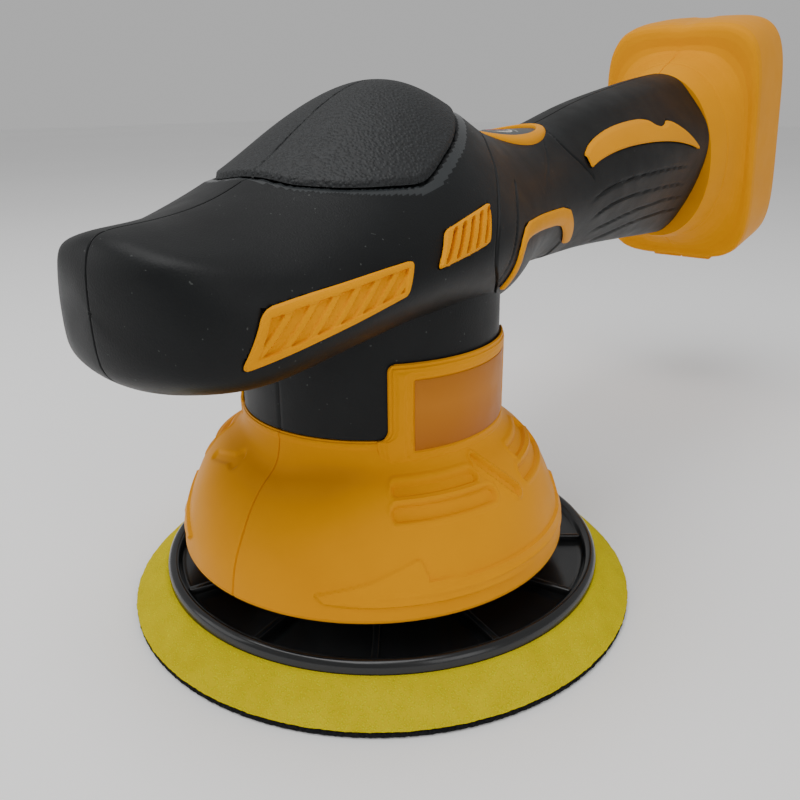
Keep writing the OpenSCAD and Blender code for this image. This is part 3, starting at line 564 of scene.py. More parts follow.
def box_piece(lo, hi, bevel, turn=None):
    """A cube between two corners in millimetres with rounded edges, optionally turned by a matrix."""
    deselect()
    bpy.ops.mesh.primitive_cube_add(size=1)
    ob = bpy.context.object
    lo, hi = np.array(lo, float), np.array(hi, float)
    pts = read(ob, "vertices", 3) * (hi - lo) + (hi + lo) / 2
    if turn is not None:
        pts = turn(pts)
    ob.data.vertices.foreach_set("co", (pts * MM).ravel())
    ob.data.update()
    m = ob.modifiers.new("edge", "BEVEL")
    m.width, m.segments, m.limit_method = bevel * MM, 3, "ANGLE"
    apply_modifiers(ob)
    return ob


def revolved(profile, steps, centre=(0.0, 0.0), wobble=None):
    """A closed profile of (radius, z) turned right round a vertical axis."""
    loop = np.array(list(profile) + [profile[0]], float)

    def place(s, t):
        k = np.rint(t * (len(loop) - 1)).astype(int)
        a = 2 * np.pi * s
        r, z = loop[k, 0], loop[k, 1]
        if wobble is not None:
            r, z = wobble(a, r, z)
        return np.stack([centre[0] + r * np.sin(a), centre[1] - r * np.cos(a), z], -1)

    ob = bent_grid((steps, len(loop) - 1), place, weld=0.002)
    outward(ob)
    return ob


def spaced(total, step, fine_start=(), fine_end=()):
    """Fractions 0 to 1 for cells of about step along a length, with closer ones next to the ends."""
    a, b = np.array([0, *fine_start], float), total - np.array([0, *fine_end], float)[::-1]
    n = max(2, int(round((b[0] - a[-1]) / step)))
    return np.concatenate([a[:-1], np.linspace(a[-1], b[0], n + 1), b[1:]]) / total


def arc_table(fn, lo, hi, n=400):
    """Parameter values and the length along a curve fn(parameter), for even spacing."""
    q = np.linspace(lo, hi, n)
    p = fn(q)
    d = np.concatenate([[0], np.cumsum(np.linalg.norm(np.diff(p, axis=0), axis=1))])
    return q, d


SLOT_OF = {s["node"]: s["material_slot"] for s in frame["record"]["subparts"]}


# ---------------------------------------------------------------- relief of the black housing
def groove(d, half, depth):
    return -depth * (1 - smooth(np.abs(d), 0, half))


def seam_groove(p):
    return groove(p[:, 0], 0.32, 0.55)


def pocket(d, wall=0.35, depth=0.9):
    """A recess whose side wall stays under the edge of the insert that fills the outline."""
    return -depth * (1 - smooth(d + 0.45, 0, wall))


PAD_OUTLINE = PAD_EDGE + [(-x, y) for x, y in reversed(PAD_EDGE[1:-1])]


def pad_distance(p):
    return outline_distance(p[:, 0], p[:, 1], rounded(PAD_OUTLINE + PAD_OUTLINE[:1], rounds=2))


def head_relief(p, v):
    d = seam_groove(p)
    roof = v < 3.75
    q = pad_distance(p)
    band = -0.7 * (1 - np.clip(q / 2.2, 0, 1)) - 0.9 * (1 - smooth(q, -0.05, 0.25))
    d = d + np.where(roof, band, 0)
    flank = (v > 1.2) & (v < 7)
    for rails in (GRILLE, VENT):
        d = d + np.where(flank, pocket(outline_distance(p[:, 1], p[:, 2], closed_rails(rails))), 0)
    return d


# Contour behind the head's seam, the line under the panel and the arc to the crescent, all drawn lines
FIN_LINE = rounded([(27, 119.5), (19, 115.5), (13.6, 111.5), (9.2, 107), (6, 101.5), (3.8, 96), (2.2, 90.5)])
PANEL_LINE = rounded([(10, 74), (12.6, 70.5), (15.6, 67.2), (19.7, 60.9), (23.4, 53.9), (25.7, 49)])
ARC_LINE = rounded([(3, 84.2), (7, 80.4), (10.5, 79), (13.4, 79.4), (16, 80.9), (17.8, 82.7), (20, 86), (21.5, 89)])
GRIP_LINES = [
    rounded([(86, 108), (98.5, 111.2), (114.6, 113.3), (137, 114.2), (158, 114.4), (176, 113.6)]),
    rounded([(90, 101.4), (102, 105), (118, 107), (145, 107.6), (170, 107), (182, 106)]),
    rounded([(98, 95.8), (112.6, 97.7), (127, 100), (153.6, 101.6), (178, 101), (190, 100)]),
    rounded([(108, 90.5), (123, 92.4), (136.6, 94.4), (161, 95.6), (184, 95), (194, 94)]),
]


def black_relief(p, v):
    """Relief of the handle root and the grip."""
    x, y, z = p[:, 0], p[:, 1], p[:, 2]
    flank = (v > 1.2) & (v < 7.2)
    d = seam_groove(p)
    for rails in (HOOK, CRESCENT):
        d = d + np.where(flank, pocket(outline_distance(y, z, closed_rails(rails)), 0.3, 0.6), 0)
    inner = list(HOOK[1]) + [(80, 84), (12, 84)]
    d = d + np.where(flank, pocket(outline_distance(y, z, inner), 0.9, 0.45), 0)
    d = d + np.where(flank, groove(segment_distance(y, z, FIN_LINE), 0.55, 0.4), 0)
    roof = v < 4
    d = d + np.where(roof, groove(segment_distance(x, y, PANEL_LINE), 0.5, 0.15), 0)
    d = d + np.where(roof, groove(segment_distance(x, y, ARC_LINE), 0.5, 0.5), 0)
    for line in GRIP_LINES:
        dist = segment_distance(y, z, line)
        line_z = np.interp(y, [q[0] for q in line], [q[1] for q in line])
        ledge = np.where(z < line_z, 0.45 * (1 - smooth(line_z - z, 0.2, 4.5)), 0) * smooth(dist, 0, 0.5)
        fade = smooth(y, line[0][0] - 1, line[0][0] + 9) * (1 - smooth(y, line[-1][0] - 12, line[-1][0]))
        d = d + np.where(flank, (groove(dist, 0.75, 0.55) + ledge * 0.6) * fade, 0)
    return d


def body_shell(name, node, side, u_lo, u_hi, mid_u, step, relief, lo_edge, hi_edge, drop, material, more=(),
               tag=None):
    """One half of a part of the body: the surface between u_lo(v) and u_hi(v), with wall thickness."""
    q, d = arc_table(lambda v: surface(np.full(v.shape, mid_u), v), 0, 8)
    near = (0.12, 0.28, 0.5, 0.9)
    v_of = np.interp(spaced(d[-1], step, near, near) * d[-1], d, q)
    shoulder = np.array([3.0])
    q2, d2 = arc_table(lambda u: surface(u, np.full(u.shape, 3.0)), u_lo(shoulder)[0], u_hi(shoulder)[0])
    ends = (0.15, 0.35, 0.7)
    share = spaced(d2[-1], step, ends if lo_edge else (), ends if hi_edge else ())
    s_of = np.interp(share * d2[-1], d2, (q2 - q2[0]) / (q2[-1] - q2[0]))
    cells = (len(s_of) - 1, len(v_of) - 1)
    low, high = u_lo(v_of), u_hi(v_of)

    def place(s, t):
        i, j = np.rint(s * cells[0]).astype(int), np.rint(t * cells[1]).astype(int)
        v = v_of[j]
        u = low[j] + (high[j] - low[j]) * s_of[i]
        p = surface(u, v)
        p[:, 0] = np.maximum(p[:, 0], 0)
        length = d2[-1]
        rim = 0.0
        if lo_edge:
            rim = rim - lo_edge * (1 - smooth(share[i] * length, 0, 0.6))
        if hi_edge:
            rim = rim - hi_edge * (1 - smooth((1 - share[i]) * length, 0, 0.6))
        h = relief(p, v) + rim
        p = p + normals(u, v) * h[:, None]
        p[:, 0] = np.maximum(p[:, 0], 0)
        return p

    ob = bent_grid(cells, place, WALL, weld=0.001, side=side, drop=drop)
    outward(ob)
    finish_piece(ob, name, node, material, more=more)
    if tag is not None:
        index = np.zeros(len(ob.data.polygons), np.int32)
        index[tag(read(ob, "polygons", 3) / MM)] = 1
        ob.data.polygons.foreach_set("material_index", index)
    return ob


EDGE_X, EDGE_Y = [p[0] for p in rounded(HEAD_EDGE)], [p[1] for p in rounded(HEAD_EDGE)]


def behind_head(p):
    return p[..., 1] - np.interp(p[..., 0], EDGE_X, EDGE_Y)


def u_head_end(v):
    return solve_u(v, lambda p: behind_head(p) + SEAM / 2, 5, 13)


def u_handle_start(v):
    return solve_u(v, lambda p: behind_head(p) - SEAM / 2, 5, 13)


def u_grip_start(v):
    return solve_u(v, lambda p: p[..., 1] - GRIP_Y)


def u_grip_end(v):
    c, s = math.cos(math.radians(FOOT_TILT)), math.sin(math.radians(FOOT_TILT))
    return solve_u(v, lambda p: (p[..., 1] - FOOT_ORIGIN[1]) * c + (p[..., 2] - FOOT_ORIGIN[2]) * s + 0.1)


def egg(a, grow):
    """Outline of the control panel; angle 0 points to the grip."""
    return (PANEL_W + grow) * np.sin(a) * (1 - 0.1 * np.cos(a)), PANEL_Y + (PANEL_L + grow) * np.cos(a)


EGG = [tuple(float(q) for q in egg(a, -1.4)) for a in np.linspace(0, 2 * np.pi, 60, endpoint=False)]


def neck_hole(c):
    return (np.hypot(c[:, 0], c[:, 1]) < NECK_R - 1.6) & (c[:, 2] < 97)


def handle_holes(c):
    return neck_hole(c) | ((outline_distance(c[:, 0], c[:, 1], EGG) < 0) & (c[:, 2] > 118))


# faces of the bevel band, which take the lighter grey of the painted highlight
def band_faces(c):
    q = pad_distance(c)
    return (q > 0.1) & (q < 2.2) & (c[:, 2] > 112)


for side, hand in ((1, "right"), (-1, "left")):
    body_shell(f"head_shell_{hand}", f"head_{hand}", side, lambda v: np.zeros(v.shape), u_head_end, 7.2, 0.62,
               head_relief, 0, 0.5, neck_hole, "black_housing", ("bevel_band",), band_faces)
    body_shell(f"handle_shell_{hand}", f"handle_{hand}", side, u_handle_start, u_grip_start, 10.5, 0.55,
               black_relief, 0.5, 0, handle_holes, "black_housing")
    body_shell(f"grip_shell_{hand}", f"grip_{hand}", side, u_grip_start, u_grip_end, 15.0, 0.6,
               black_relief, 0, 0.3, None, "soft_grip")


# ---------------------------------------------------------------- inserts on the body
def insert(name, node, side, rails, size, step, corner, height, depth):
    """A moulded insert between two rails of (y, z); height(a, b, edge) is its face above the body surface,
    from the distances in millimetres along it, across it and to its nearest edge."""
    upper, lower = (rounded(r, rounds=2 if rails is CRESCENT else 1) for r in rails)
    length, width = size
    cells = (int(length / step), max(6, int(width / step)))

    def even(pts, s):
        pts = np.array(pts)
        d = np.concatenate([[0], np.cumsum(np.linalg.norm(np.diff(pts, axis=0), axis=1))])
        return np.stack([np.interp(s * d[-1], d, pts[:, k]) for k in (0, 1)], -1)

    def place(s, t):
        across = np.minimum(t, 1 - t) * width
        inset = np.where(across < corner, corner - np.sqrt(np.maximum(corner ** 2 - (corner - across) ** 2, 0)), 0)
        s2 = inset / length + s * (1 - 2 * inset / length)
        yz = even(upper, s2) * (1 - t[:, None]) + even(lower, s2) * t[:, None]
        u, v = uv_flank(yz[:, 0], yz[:, 1])
        edge = np.minimum(across, np.minimum(s, 1 - s) * length)
        return surface(u, v) + normals(u, v) * height(s * length, t * width, edge)[:, None]

    ob = bent_grid(cells, place, depth, side=side)
    outward(ob)
    finish_piece(ob, name, node, "yellow_housing")


def rim_height(edge, top=1.0, bevel=0.7, drop=0.8):
    return LIFT + top - drop * (1 - smooth(edge, 0, bevel))


def grille_face(a, b, edge):
    # raised frame about 2 mm wide round a window with seven slanted bars
    window = smooth(edge, 2.0, 2.4)
    phase = ((a + 0.55 * b) / 5.6) % 1
    bar = smooth(phase, 0.08, 0.16) * (1 - smooth(phase, 0.5, 0.58))
    return rim_height(edge) - window * (0.35 + 0.65 * (1 - bar))


def vent_face(a, b, edge):
    # five slanted slots with rounded ends
    k = (a - 3.4 + 0.25 * (b - 4.6)) / 4.1
    off = (k - np.clip(np.round(k), 0, 4)) * 4.1
    end = np.maximum(np.abs(b - 4.7) - 2.9, 0)
    slot = 1 - smooth(np.hypot(off, end), 0.75, 1.05)
    return rim_height(edge) - 1.9 * slot


def hook_face(a, b, edge):
    # ridge along the middle with a chamfer to each side
    return rim_height(edge, 0.95, 0.4, 0.5) - 0.3 * np.abs(b / 3.6 * 2 - 1)


def crescent_face(a, b, edge):
    # wide chamfer along the upper and front edges, flat face below it
    chamfer = 1 - smooth(b, 0.2, 2.0)
    return rim_height(edge, 1.0, 0.35, 0.5) - 0.55 * chamfer


for side, hand in ((1, "right"), (-1, "left")):
    insert(f"grille_{hand}", f"side_grille_{hand}", side, GRILLE, (40, 12), 0.3, 2.2, grille_face, 1.0)
    insert(f"vent_{hand}", f"side_vent_{hand}", side, VENT, (22, 9.4), 0.25, 1.4, vent_face, 1.0)
    insert(f"hook_{hand}", f"hook_trim_{hand}", side, HOOK, (105, 3.6), 0.3, 0.6, hook_face, 0.9)
    insert(f"crescent_{hand}", f"crescent_trim_{hand}", side, CRESCENT, (92, 7.5), 0.35, 1.2, crescent_face, 0.9)


def palm_pad(side, hand):
    edge = np.array(rounded(PAD_EDGE, rounds=3))
    d = np.concatenate([[0], np.cumsum(np.linalg.norm(np.diff(edge, axis=0), axis=1))])
    centre = np.array([0, -6.0])

    def place(s, t):
        e = np.stack([np.interp(s * d[-1], d, edge[:, k]) for k in (0, 1)], -1)
        gap = (e - centre) / np.linalg.norm(e - centre, axis=1, keepdims=True) * 0.25
        xy = centre + (e - gap - centre) * t[:, None]
        u, v = uv_roof(np.maximum(xy[:, 0], 0), xy[:, 1])
        q = -pad_distance(xy)
        h = -0.75 + 1.15 * smooth(q, 0.1, 1.3) + 0.35 * smooth(q, 1.0, 16) - 0.45 * (1 - smooth(xy[:, 0], 0, 0.35))
        p = surface(u, v) + normals(u, v) * h[:, None]
        p[:, 0] = np.maximum(p[:, 0], 0)
        return p

    ob = bent_grid((190, 90), place, 0.9, weld=0.003, side=side)
    outward(ob)
    finish_piece(ob, f"palm_rubber_{hand}", f"palm_pad_{hand}", "rubber")


palm_pad(1, "right")
palm_pad(-1, "left")


# ---------------------------------------------------------------- skirt, neck and label
BELL = [(56.1, 20.7), (55.1, 27), (53.5, 32.5), (51.7, 37.5), (49.4, 42.5), (46.4, 47), (43, 50.4),
        (39.2, 52.9), (37.4, 54.9), (36.7, 57.5), (36.4, 60.5)]


def deg_outline(pts, r):
    """Outline given in degrees and height turned to millimetres along and up."""
    return [(math.radians(a) * r, z) for a, z in pts]


def rounded_bar(a, z, a0, a1, z0, z1, r):
    """Signed distance to a bar with round ends, all in millimetres."""
    ca, cz = (a0 + a1) / 2, (z0 + z1) / 2
    qx, qz = np.abs(a - ca) - (a1 - a0) / 2 + r, np.abs(z - cz) - (z1 - z0) / 2 + r
    return np.hypot(np.maximum(qx, 0), np.maximum(qz, 0)) + np.minimum(np.maximum(qx, qz), 0) - r


FIN = deg_outline([(25.3, 27.3), (40, 31), (52.4, 35.6), (53.6, 35.0), (55.2, 30.2), (69, 29.8), (90.5, 29.8),
                   (90.5, 25.0), (37, 25.2), (27.7, 25.4)], 54)


def skirt_relief(ang, z, left):
    """Relief of the skirt from the angle off the nose, in degrees, and the height."""
    fold = np.minimum(ang, 180 - ang)
    a54, a47 = np.radians(fold) * 54, np.radians(fold) * 47
    d = 0.75 * (1 - smooth(outline_distance(a54, z, FIN), -0.1, 0.25))
    line = segment_distance(a54, z, deg_outline([(41, 27.5), (90, 27.2)], 54))
    d = d + 0.25 * (1 - smooth(line, 0.1, 0.6))
    # two recessed slots with a bar between them under the label frame
    upper = rounded_bar(a47, z, math.radians(47) * 47, math.radians(78) * 47, 49.0, 51.2, 1.0)
    lower = rounded_bar(a47, z, math.radians(46.3) * 47, math.radians(82) * 47, 44.0, 47.2, 1.4)
    for q in (upper, lower):
        d = d - 1.1 * (1 - smooth(q, -0.25, 0.15)) + 0.3 * (1 - smooth(np.abs(q - 0.8), 0.2, 0.5))
    # oblique channel between two raised ribs on each flank
    channel = segment_distance(np.radians(ang) * 47, z, deg_outline([(82, 52.2), (91.5, 43.6)], 47))
    d = d - 0.7 * (1 - smooth(channel, 0.9, 1.2)) + 0.5 * (1 - smooth(np.abs(channel - 1.7), 0.25, 0.6))
    if left:
        # teardrop pockets of the two skirt screws
        a = np.radians(fold) * 40
        round_end = np.hypot(a - math.radians(18.5) * 40, z - 50.6)
        tail = segment_distance(a, z, [(math.radians(18.5) * 40, 50.6), (math.radians(33) * 40, 47.6)])
        d = d - 0.7 * (1 - smooth(np.minimum(round_end, tail + 0.9), 1.5, 2.3))
    # lip along the neck
    return d + 0.35 * smooth(z, 58.4, 58.7) - 0.3 * smooth(z, 59.9, 60.2)


def skirt(side, hand):
    profile = np.array(rounded(BELL, rounds=2))
    d = np.concatenate([[0], np.cumsum(np.linalg.norm(np.diff(profile, axis=0), axis=1))])
    near = (0.15, 0.35, 0.6)
    share = spaced(d[-1], 0.5, near, near)
    around = spaced(157.0, 0.56, near, near)

    def place(s, t):
        i, j = np.rint(s * (len(share) - 1)).astype(int), np.rint(t * (len(around) - 1)).astype(int)
        q = share[i] * d[-1]
        r, z = np.interp(q, d, profile[:, 0]), np.interp(q, d, profile[:, 1])
        slope = np.gradient(profile[:, 0], d), np.gradient(profile[:, 1], d)
        nr, nz = np.interp(q, d, slope[1]), -np.interp(q, d, slope[0])
        ang = around[j] * 180
        valley = 2.4 * np.exp(-(np.minimum(ang, 180 - ang) / 16) ** 2) * smooth(z, 27, 42) * (1 - smooth(z, 52, 58.5))
        h = skirt_relief(ang, z, side < 0) - 0.4 * (1 - smooth(q, 0, 0.7))
        h = h - 0.4 * (1 - smooth(np.minimum(ang, 180 - ang) * 0.9, 0, 0.32))
        r, z = r + nr * h, z + nz * h - valley
        a = np.radians(ang)
        return np.stack([r * np.sin(a), -r * np.cos(a), z], -1)

    shell = bent_grid((len(share) - 1, len(around) - 1), place, 2.0, weld=0.001, side=side)
    outward(shell)
    width, height = math.radians(FRAME_HALF) * FRAME_R, FRAME_TOP - FRAME_LOW
    label_arc, tray_arc = (math.radians(LABEL_HALF + k) * FRAME_R for k in (0, 3.2))

    def place_frame(s, t):
        z = FRAME_LOW - 0.8 + s * (height + 0.8)
        reach = 1.0 - 0.035 * (1 - smooth(z, FRAME_LOW - 1, 60))
        # rounded upper corners, and a fillet where the sides run out into the skirt
        rise, fall = np.clip(FRAME_TOP - z, 0, 2), np.clip(z - NECK_Z, 0, 3)
        inset = 2 - np.sqrt(4 - (2 - rise) ** 2) - np.where(fall < 3, 3 - np.sqrt(9 - (3 - fall) ** 2), 0)
        a = (t * 2 - 1) * (width * reach - inset)
        edge = np.minimum(np.minimum(t, 1 - t) * 2 * (width * reach - inset), FRAME_TOP - z)
        label = rounded_bar(a, z, -label_arc, label_arc, 57, 76.4, 1.2)
        step = rounded_bar(a, z, -tray_arc, tray_arc, 55.6, 78, 1.6)
        # two thin lips run round the frame, then a shallow tray, then the label's recess
        r = FRAME_R - 0.3 * (1 - smooth(edge, 1.0, 1.25)) - 0.25 * (1 - smooth(edge, 2.2, 2.45))
        r = r - 0.4 * (1 - smooth(edge, 0.0, 0.3)) - 0.25 * (1 - smooth(step, -0.1, 0.25))
        r = r - 0.4 * (1 - smooth(label, -0.05, 0.2)) - 0.6 * (1 - smooth(z, FRAME_LOW - 0.8, FRAME_LOW + 0.6))
        th = a / FRAME_R
        return np.stack([r * np.cos(th), r * np.sin(th), z], -1)

    frame_part = bent_grid((80, 170), place_frame, 1.0, side=side)
    outward(frame_part)
    finish_piece(join([shell, frame_part]), f"skirt_{hand}_shell", f"skirt_{hand}", "yellow_housing")

    def place_label(s, t):
        z = 57.35 + s * 18.7
        a = (t * 2 - 1) * (label_arc - 0.35)
        edge = -rounded_bar(a, z, 0.3 - label_arc, label_arc - 0.3, 57.3, 76.1, 1.0)
        r = FRAME_R - 0.4 - 0.1 * (1 - smooth(edge, 0, 0.25))
        th = a / FRAME_R
        return np.stack([r * np.cos(th), r * np.sin(th), z], -1)

    plate = bent_grid((40, 100), place_label, 0.2, side=side)
    outward(plate)
    finish_piece(plate, f"label_{hand}", f"label_plate_{hand}", "label_foil")

    def place_neck(s, t):
        a, z = np.pi * t, NECK_Z + 0.3 + s * (NECK_TOP + 4 - NECK_Z - 0.3)
        r = NECK_R - s * 0.3 - 0.3 * (1 - smooth(np.minimum(t, 1 - t) * 115, 0, 0.4))
        return np.stack([r * np.sin(a), -r * np.cos(a), z], -1)

    tube = bent_grid((30, 160), place_neck, 0.8, side=side)
    outward(tube)
    finish_piece(tube, f"neck_tube_{hand}", f"neck_{hand}", "black_housing")


skirt(1, "right")
skirt(-1, "left")

# ---------------------------------------------------------------- battery foot
# Rings across the grip axis: distance along it, half-width, top, bottom, squareness
FOOT_RINGS = [(0.1, 18, 27, -27, 2.1), (0.1, 23.8, 34.4, -34.4, 2.1), (0.2, 24, 34.6, -34.6, 2.1),
              (6, 26, 36.5, -37, 2.1), (10.4, 27, 37.4, -38.2, 2.15),
              (10.7, 26.6, 37.0, -37.8, 2.15), (11.0, 27.1, 37.5, -38.4, 2.15), (13, 27.5, 38, -39, 2.2),
              (19, 29, 39.5, -43, 2.6), (21.6, 30.3, 41, -46, 3.2), (22, 33, 47.5, -50.5, 4.6),
              (23.6, 34.5, 50.5, -51, 5), (32, 34.5, 51.5, -51, 5), (44, 34.5, 51, -51, 5),
              (54.2, 34.5, 50.5, -51, 5), (55, 33.9, 49.9, -50.4, 5)]


def on_foot(p):
    """From the foot's own frame (x, along the grip, up) to the shared one."""
    c, s = math.cos(math.radians(FOOT_TILT)), math.sin(math.radians(FOOT_TILT))
    return np.stack([p[..., 0] + FOOT_ORIGIN[0], FOOT_ORIGIN[1] + p[..., 1] * c - p[..., 2] * s,
                     FOOT_ORIGIN[2] + p[..., 1] * s + p[..., 2] * c], -1)


def off_foot(p):
    c, s = math.cos(math.radians(FOOT_TILT)), math.sin(math.radians(FOOT_TILT))
    y, z = p[:, 1] - FOOT_ORIGIN[1], p[:, 2] - FOOT_ORIGIN[2]
    return np.stack([p[:, 0], y * c + z * s, -y * s + z * c], -1)


def foot(side, hand):
    table = np.array(FOOT_RINGS, float)
    smooth_table = np.array(rounded(table, rounds=1))
    d = np.concatenate([[0], np.cumsum(np.linalg.norm(np.diff(smooth_table[:, :4], axis=0), axis=1))])
    share = spaced(d[-1], 0.45)
    around = spaced(150.0, 0.8, (0.15, 0.35, 0.6), (0.15, 0.35, 0.6))

    def place(s, t):
        i, j = np.rint(s * (len(share) - 1)).astype(int), np.rint(t * (len(around) - 1)).astype(int)
        q = share[i] * d[-1]
        a, w, top, low, n = (np.interp(q, d, smooth_table[:, k]) for k in range(5))
        ang = around[j] * np.pi
        # angles bunched at the corners so that the squarer rings stay evenly divided
        ang = ang + 0.12 * np.sin(4 * ang) * (n - 2.1) / 3
        sn, cs = np.sin(ang), np.cos(ang)
        x = w * np.sign(sn) * np.abs(sn) ** (2 / n)
        z = np.where(cs > 0, top, -low) * np.sign(cs) * np.abs(cs) ** (2 / n)
        edge = around[j] * 150.0
        pinch = 1 - 0.010 * (1 - smooth(np.minimum(edge, 150 - edge), 0, 0.35))
        return on_foot(np.stack([np.maximum(x, 0), a, z * pinch], -1))

    def bay(c):
        q = off_foot(c)
        return (q[:, 1] > 42.2) & (q[:, 2] < -40) & (np.abs(q[:, 0]) < 27)

    shell = bent_grid((len(share) - 1, len(around) - 1), place, 2.4, weld=0.001, side=side, drop=bay)
    outward(shell)
    lo, hi = (0, 34, -56), (14, 39.7, -49.5)
    lip = box_piece((min(lo[0], hi[0] * side), lo[1], lo[2]), (max(lo[0], hi[0] * side), hi[1], hi[2]), 0.8, on_foot)
    finish_piece(join([shell, lip]), f"foot_{hand}_shell", f"foot_{hand}", "yellow_housing")


foot(1, "right")
foot(-1, "left")


# ---------------------------------------------------------------- control panel
def arch(x, r, crest):
    return crest - (r - np.sqrt(r * r - np.minimum(x * x, r * r * 0.9)))


def bezel():
    # rounded ring, wider towards the grip
    profile = np.array([(0.3, -4.2), (0.35, -1.3), (0.2, -0.6), (-0.25, -0.12), (-0.8, 0.05), (-1.5, 0.1),
                        (-2.1, 0.05), (-2.5, -0.15), (-2.75, -0.5), (-2.8, -1.2), (-2.8, -4.2), (0.3, -4.2)])

    def place(s, t):
        k = np.rint(t * (len(profile) - 1)).astype(int)
        a = 2 * np.pi * s
        wide = 1 + 0.3 * np.maximum(np.cos(a), 0) ** 2 - 0.15 * np.maximum(-np.cos(a), 0)
        off = np.where(profile[k, 0] < 0, profile[k, 0] * wide, profile[k, 0])
        x, y = egg(a, off)
        return np.stack([x, y, arch(x, 24, 132.2) + profile[k, 1]], -1)

    ob = bent_grid((260, len(profile) - 1), place, weld=0.002)
    outward(ob)
    finish_piece(ob, "panel_bezel", "button_bezel", "yellow_housing")


def membrane():
    def place(s, t):
        a = 2 * np.pi * s
        x1, y1 = egg(a, -2.2)
        x0, y0 = 4.85 * np.sin(a), PANEL_Y + 4.85 * np.cos(a)
        x, y = x0 + (x1 - x0) * t, y0 + (y1 - y0) * t
        return np.stack([x, y, arch(x, 28, 130.95)], -1)

    ob = bent_grid((160, 30), place, 1.2, weld=0.002, turned=False)
    outward(ob)
    finish_piece(ob, "panel_membrane", "button_membrane", "panel_film")


def button():
    profile = [(0.0, 131.1), (2.0, 131.1), (4.0, 131.0), (4.5, 130.75), (4.6, 130.3), (4.6, 128.3), (5.6, 128.2),
               (5.6, 127), (1.6, 127), (1.6, 123.4), (0.0, 123.4)]
    ob = revolved(profile, 72, (0, PANEL_Y))
    finish_piece(ob, "power_key", "power_button", "panel_film", body="power_button")


bezel()
membrane()
button()


# ---------------------------------------------------------------- pad
def plate():
    r = PLATE_R
    profile = [(0.0, 8.2), (r - 0.4, 8.2), (r, 8.6), (r + 0.1, 11.6), (r - 0.15, 12.7), (r - 0.8, 13.5),
               (r - 1.7, 13.8), (r - 2.6, 13.5), (r - 3.2, 12.7), (r - 3.6, 11.6), (r - 4.4, 10.7), (r - 5.4, 10.4), (15.6, 10.4),
               (15.0, 11.0), (15.0, 18.4), (14.4, 19.0), (10.1, 19.0), (10.1, 9.3), (0.0, 9.3)]
    parts = [revolved(profile, 200, (0, ORBIT))]
    for k in range(12):
        a = math.radians(k * 30 + 8)

        def turn(p, a=a):
            return np.stack([p[:, 0] * math.cos(a) - p[:, 1] * math.sin(a),
                             ORBIT + p[:, 0] * math.sin(a) + p[:, 1] * math.cos(a), p[:, 2]], -1)

        parts.append(box_piece((14.2, -0.9, 10.0), (r - 3.6, 0.9, 12.4), 0.4, turn))
    finish_piece(join(parts), "backing_dish", "backing_plate", "gloss_black_plate", body="pad")


def ripple(a, seed, waves, size):
    """Sum of a few sine waves round a circle, the same on every run."""
    rng = np.random.default_rng(seed)
    return sum(size * rng.uniform(0.3, 1) * np.sin(a * k + rng.uniform(0, 6.3)) for k in waves)


def foam():
    outer, top = PAD_R, FOAM_TOP_R
    side_pts = [(outer + (top - outer) * q + 0.5 * math.sin(math.pi * q), 2.15 + 8.1 * q)
                for q in np.linspace(0, 1, 15)]
    profile = [(0.0, 2.05), (40.0, 2.05), (outer - 0.6, 2.05), *side_pts, (top - 0.9, 10.3), (top - 0.9, 8.15),
               (0.0, 8.15)]

    def wobble(a, r, z):
        lift = np.clip((r - 60) / 12, 0, 1) * (z > 2.1)
        fine = ripple(a, 5, (61, 97, 143, 211), 0.05) + ripple(a + z * 0.9, 9, (37, 171, 263), 0.04)
        return r + fine * lift, z

    ob = revolved(profile, 720, (0, ORBIT), wobble)
    finish_piece(ob, "foam_ring", "foam_pad", "lime_foam", body="pad")


def hook_face_disc():
    r = PAD_R
    profile = [(0.0, 0.0), (40.0, 0.0), (r - 0.9, 0.02), (r - 0.2, 0.35), (r + 0.05, 0.9), (r, 1.5), (r - 0.4, 1.95),
               (40.0, 2.0), (0.0, 2.0)]

    def wobble(a, r, z):
        edge = (r > 70) & (z > 0.1)
        fuzz = ripple(a, 3, (83, 131, 197, 289, 347), 0.06)
        return r + np.where(edge, fuzz - 0.1, 0), z

    ob = revolved(profile, 900, (0, ORBIT), wobble)
    finish_piece(ob, "hook_pile", "hook_disc", "hook_fabric", body="pad")


plate()
foam()
hook_face_disc()

# ---------------------------------------------------------------- finishes of the CAD nodes that stay
for node, ob in frame["nodes"].items():
    ob.data.materials.clear()
    ob.data.materials.append(MATS[SLOT_OF[node]])

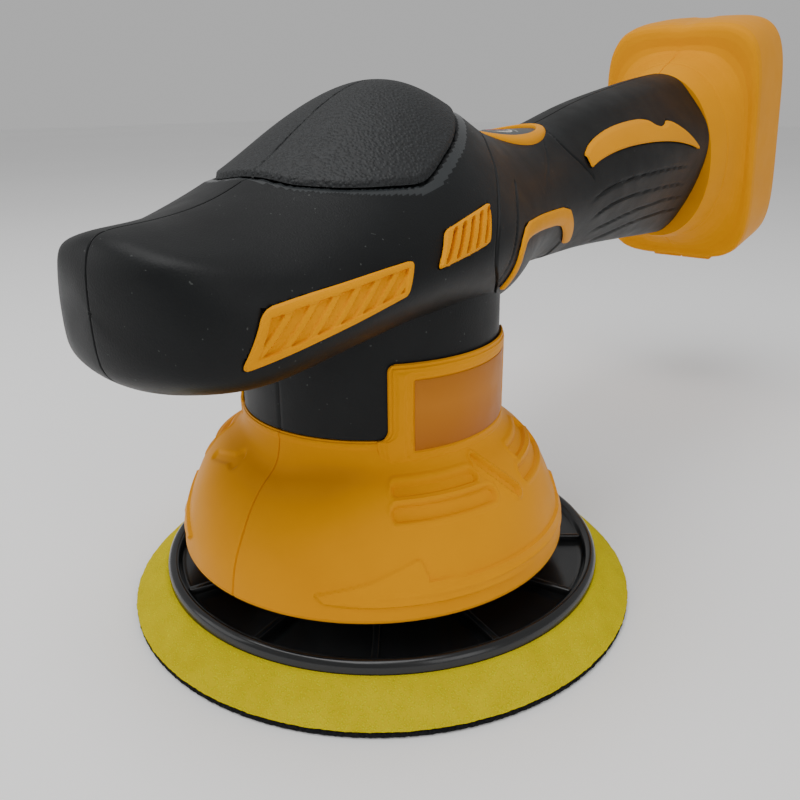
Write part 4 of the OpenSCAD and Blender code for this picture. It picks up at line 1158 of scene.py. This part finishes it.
# ---------------------------------------------------------------- floor, light and camera
deselect()
bpy.ops.mesh.primitive_plane_add(size=8)
floor = bpy.context.object
floor.name = "studio_floor"
paper = new_material("white_paper_sweep")
surface_out(paper, ramp(paper, noise(paper, 400, 2), [(0.3, grey(0.93)), (0.7, grey(0.95))]), 0.8)
floor.data.materials.append(paper)

world = bpy.data.worlds.new("studio")
bpy.context.scene.world = world
world.use_nodes = True
world.node_tree.nodes.clear()
back = world.node_tree.nodes.new("ShaderNodeBackground")
back.inputs["Color"].default_value = (1, 1, 1, 1)
back.inputs["Strength"].default_value = 0.5
out = world.node_tree.nodes.new("ShaderNodeOutputWorld")
world.node_tree.links.new(back.outputs[0], out.inputs[0])


def softbox(name, place, aim, size, power):
    light = bpy.data.lights.new(name, "AREA")
    light.shape, light.size, light.size_y, light.energy = "RECTANGLE", size[0], size[1], power
    ob = bpy.data.objects.new(name, light)
    bpy.context.collection.objects.link(ob)
    ob.location = place
    ob.rotation_mode = "QUATERNION"
    ob.rotation_quaternion = (Vector(aim) - Vector(place)).to_track_quat("-Z", "Y")
    return ob


softbox("overhead", (-0.05, -0.25, 0.95), (0, 0.02, 0.08), (0.9, 0.7), 7.5)
softbox("front_left", (-0.75, -0.75, 0.45), (0, 0, 0.07), (0.6, 0.6), 1.5)
softbox("right_fill", (0.95, -0.25, 0.5), (0, 0.05, 0.08), (0.5, 0.7), 2.0)

cam_data = bpy.data.cameras.new("camera")
cam_data.sensor_width, cam_data.lens = 36.0, 37.35
cam_data.dof.use_dof = False
cam_data.clip_start, cam_data.clip_end = 0.01, 20
cam = bpy.data.objects.new("camera", cam_data)
bpy.context.collection.objects.link(cam)
look = Vector((-0.590, 0.7305, -0.3437)).normalized()
right = look.cross(Vector((0, 0, 1))).normalized()
up = right.cross(look)
roll = math.radians(-0.4)
right, up = right * math.cos(roll) + up * math.sin(roll), up * math.cos(roll) - right * math.sin(roll)
cam.matrix_world = Matrix.Translation((0.1487, -0.1711, 0.1411)) @ Matrix((right, up, -look)).transposed().to_4x4()
bpy.context.scene.camera = cam
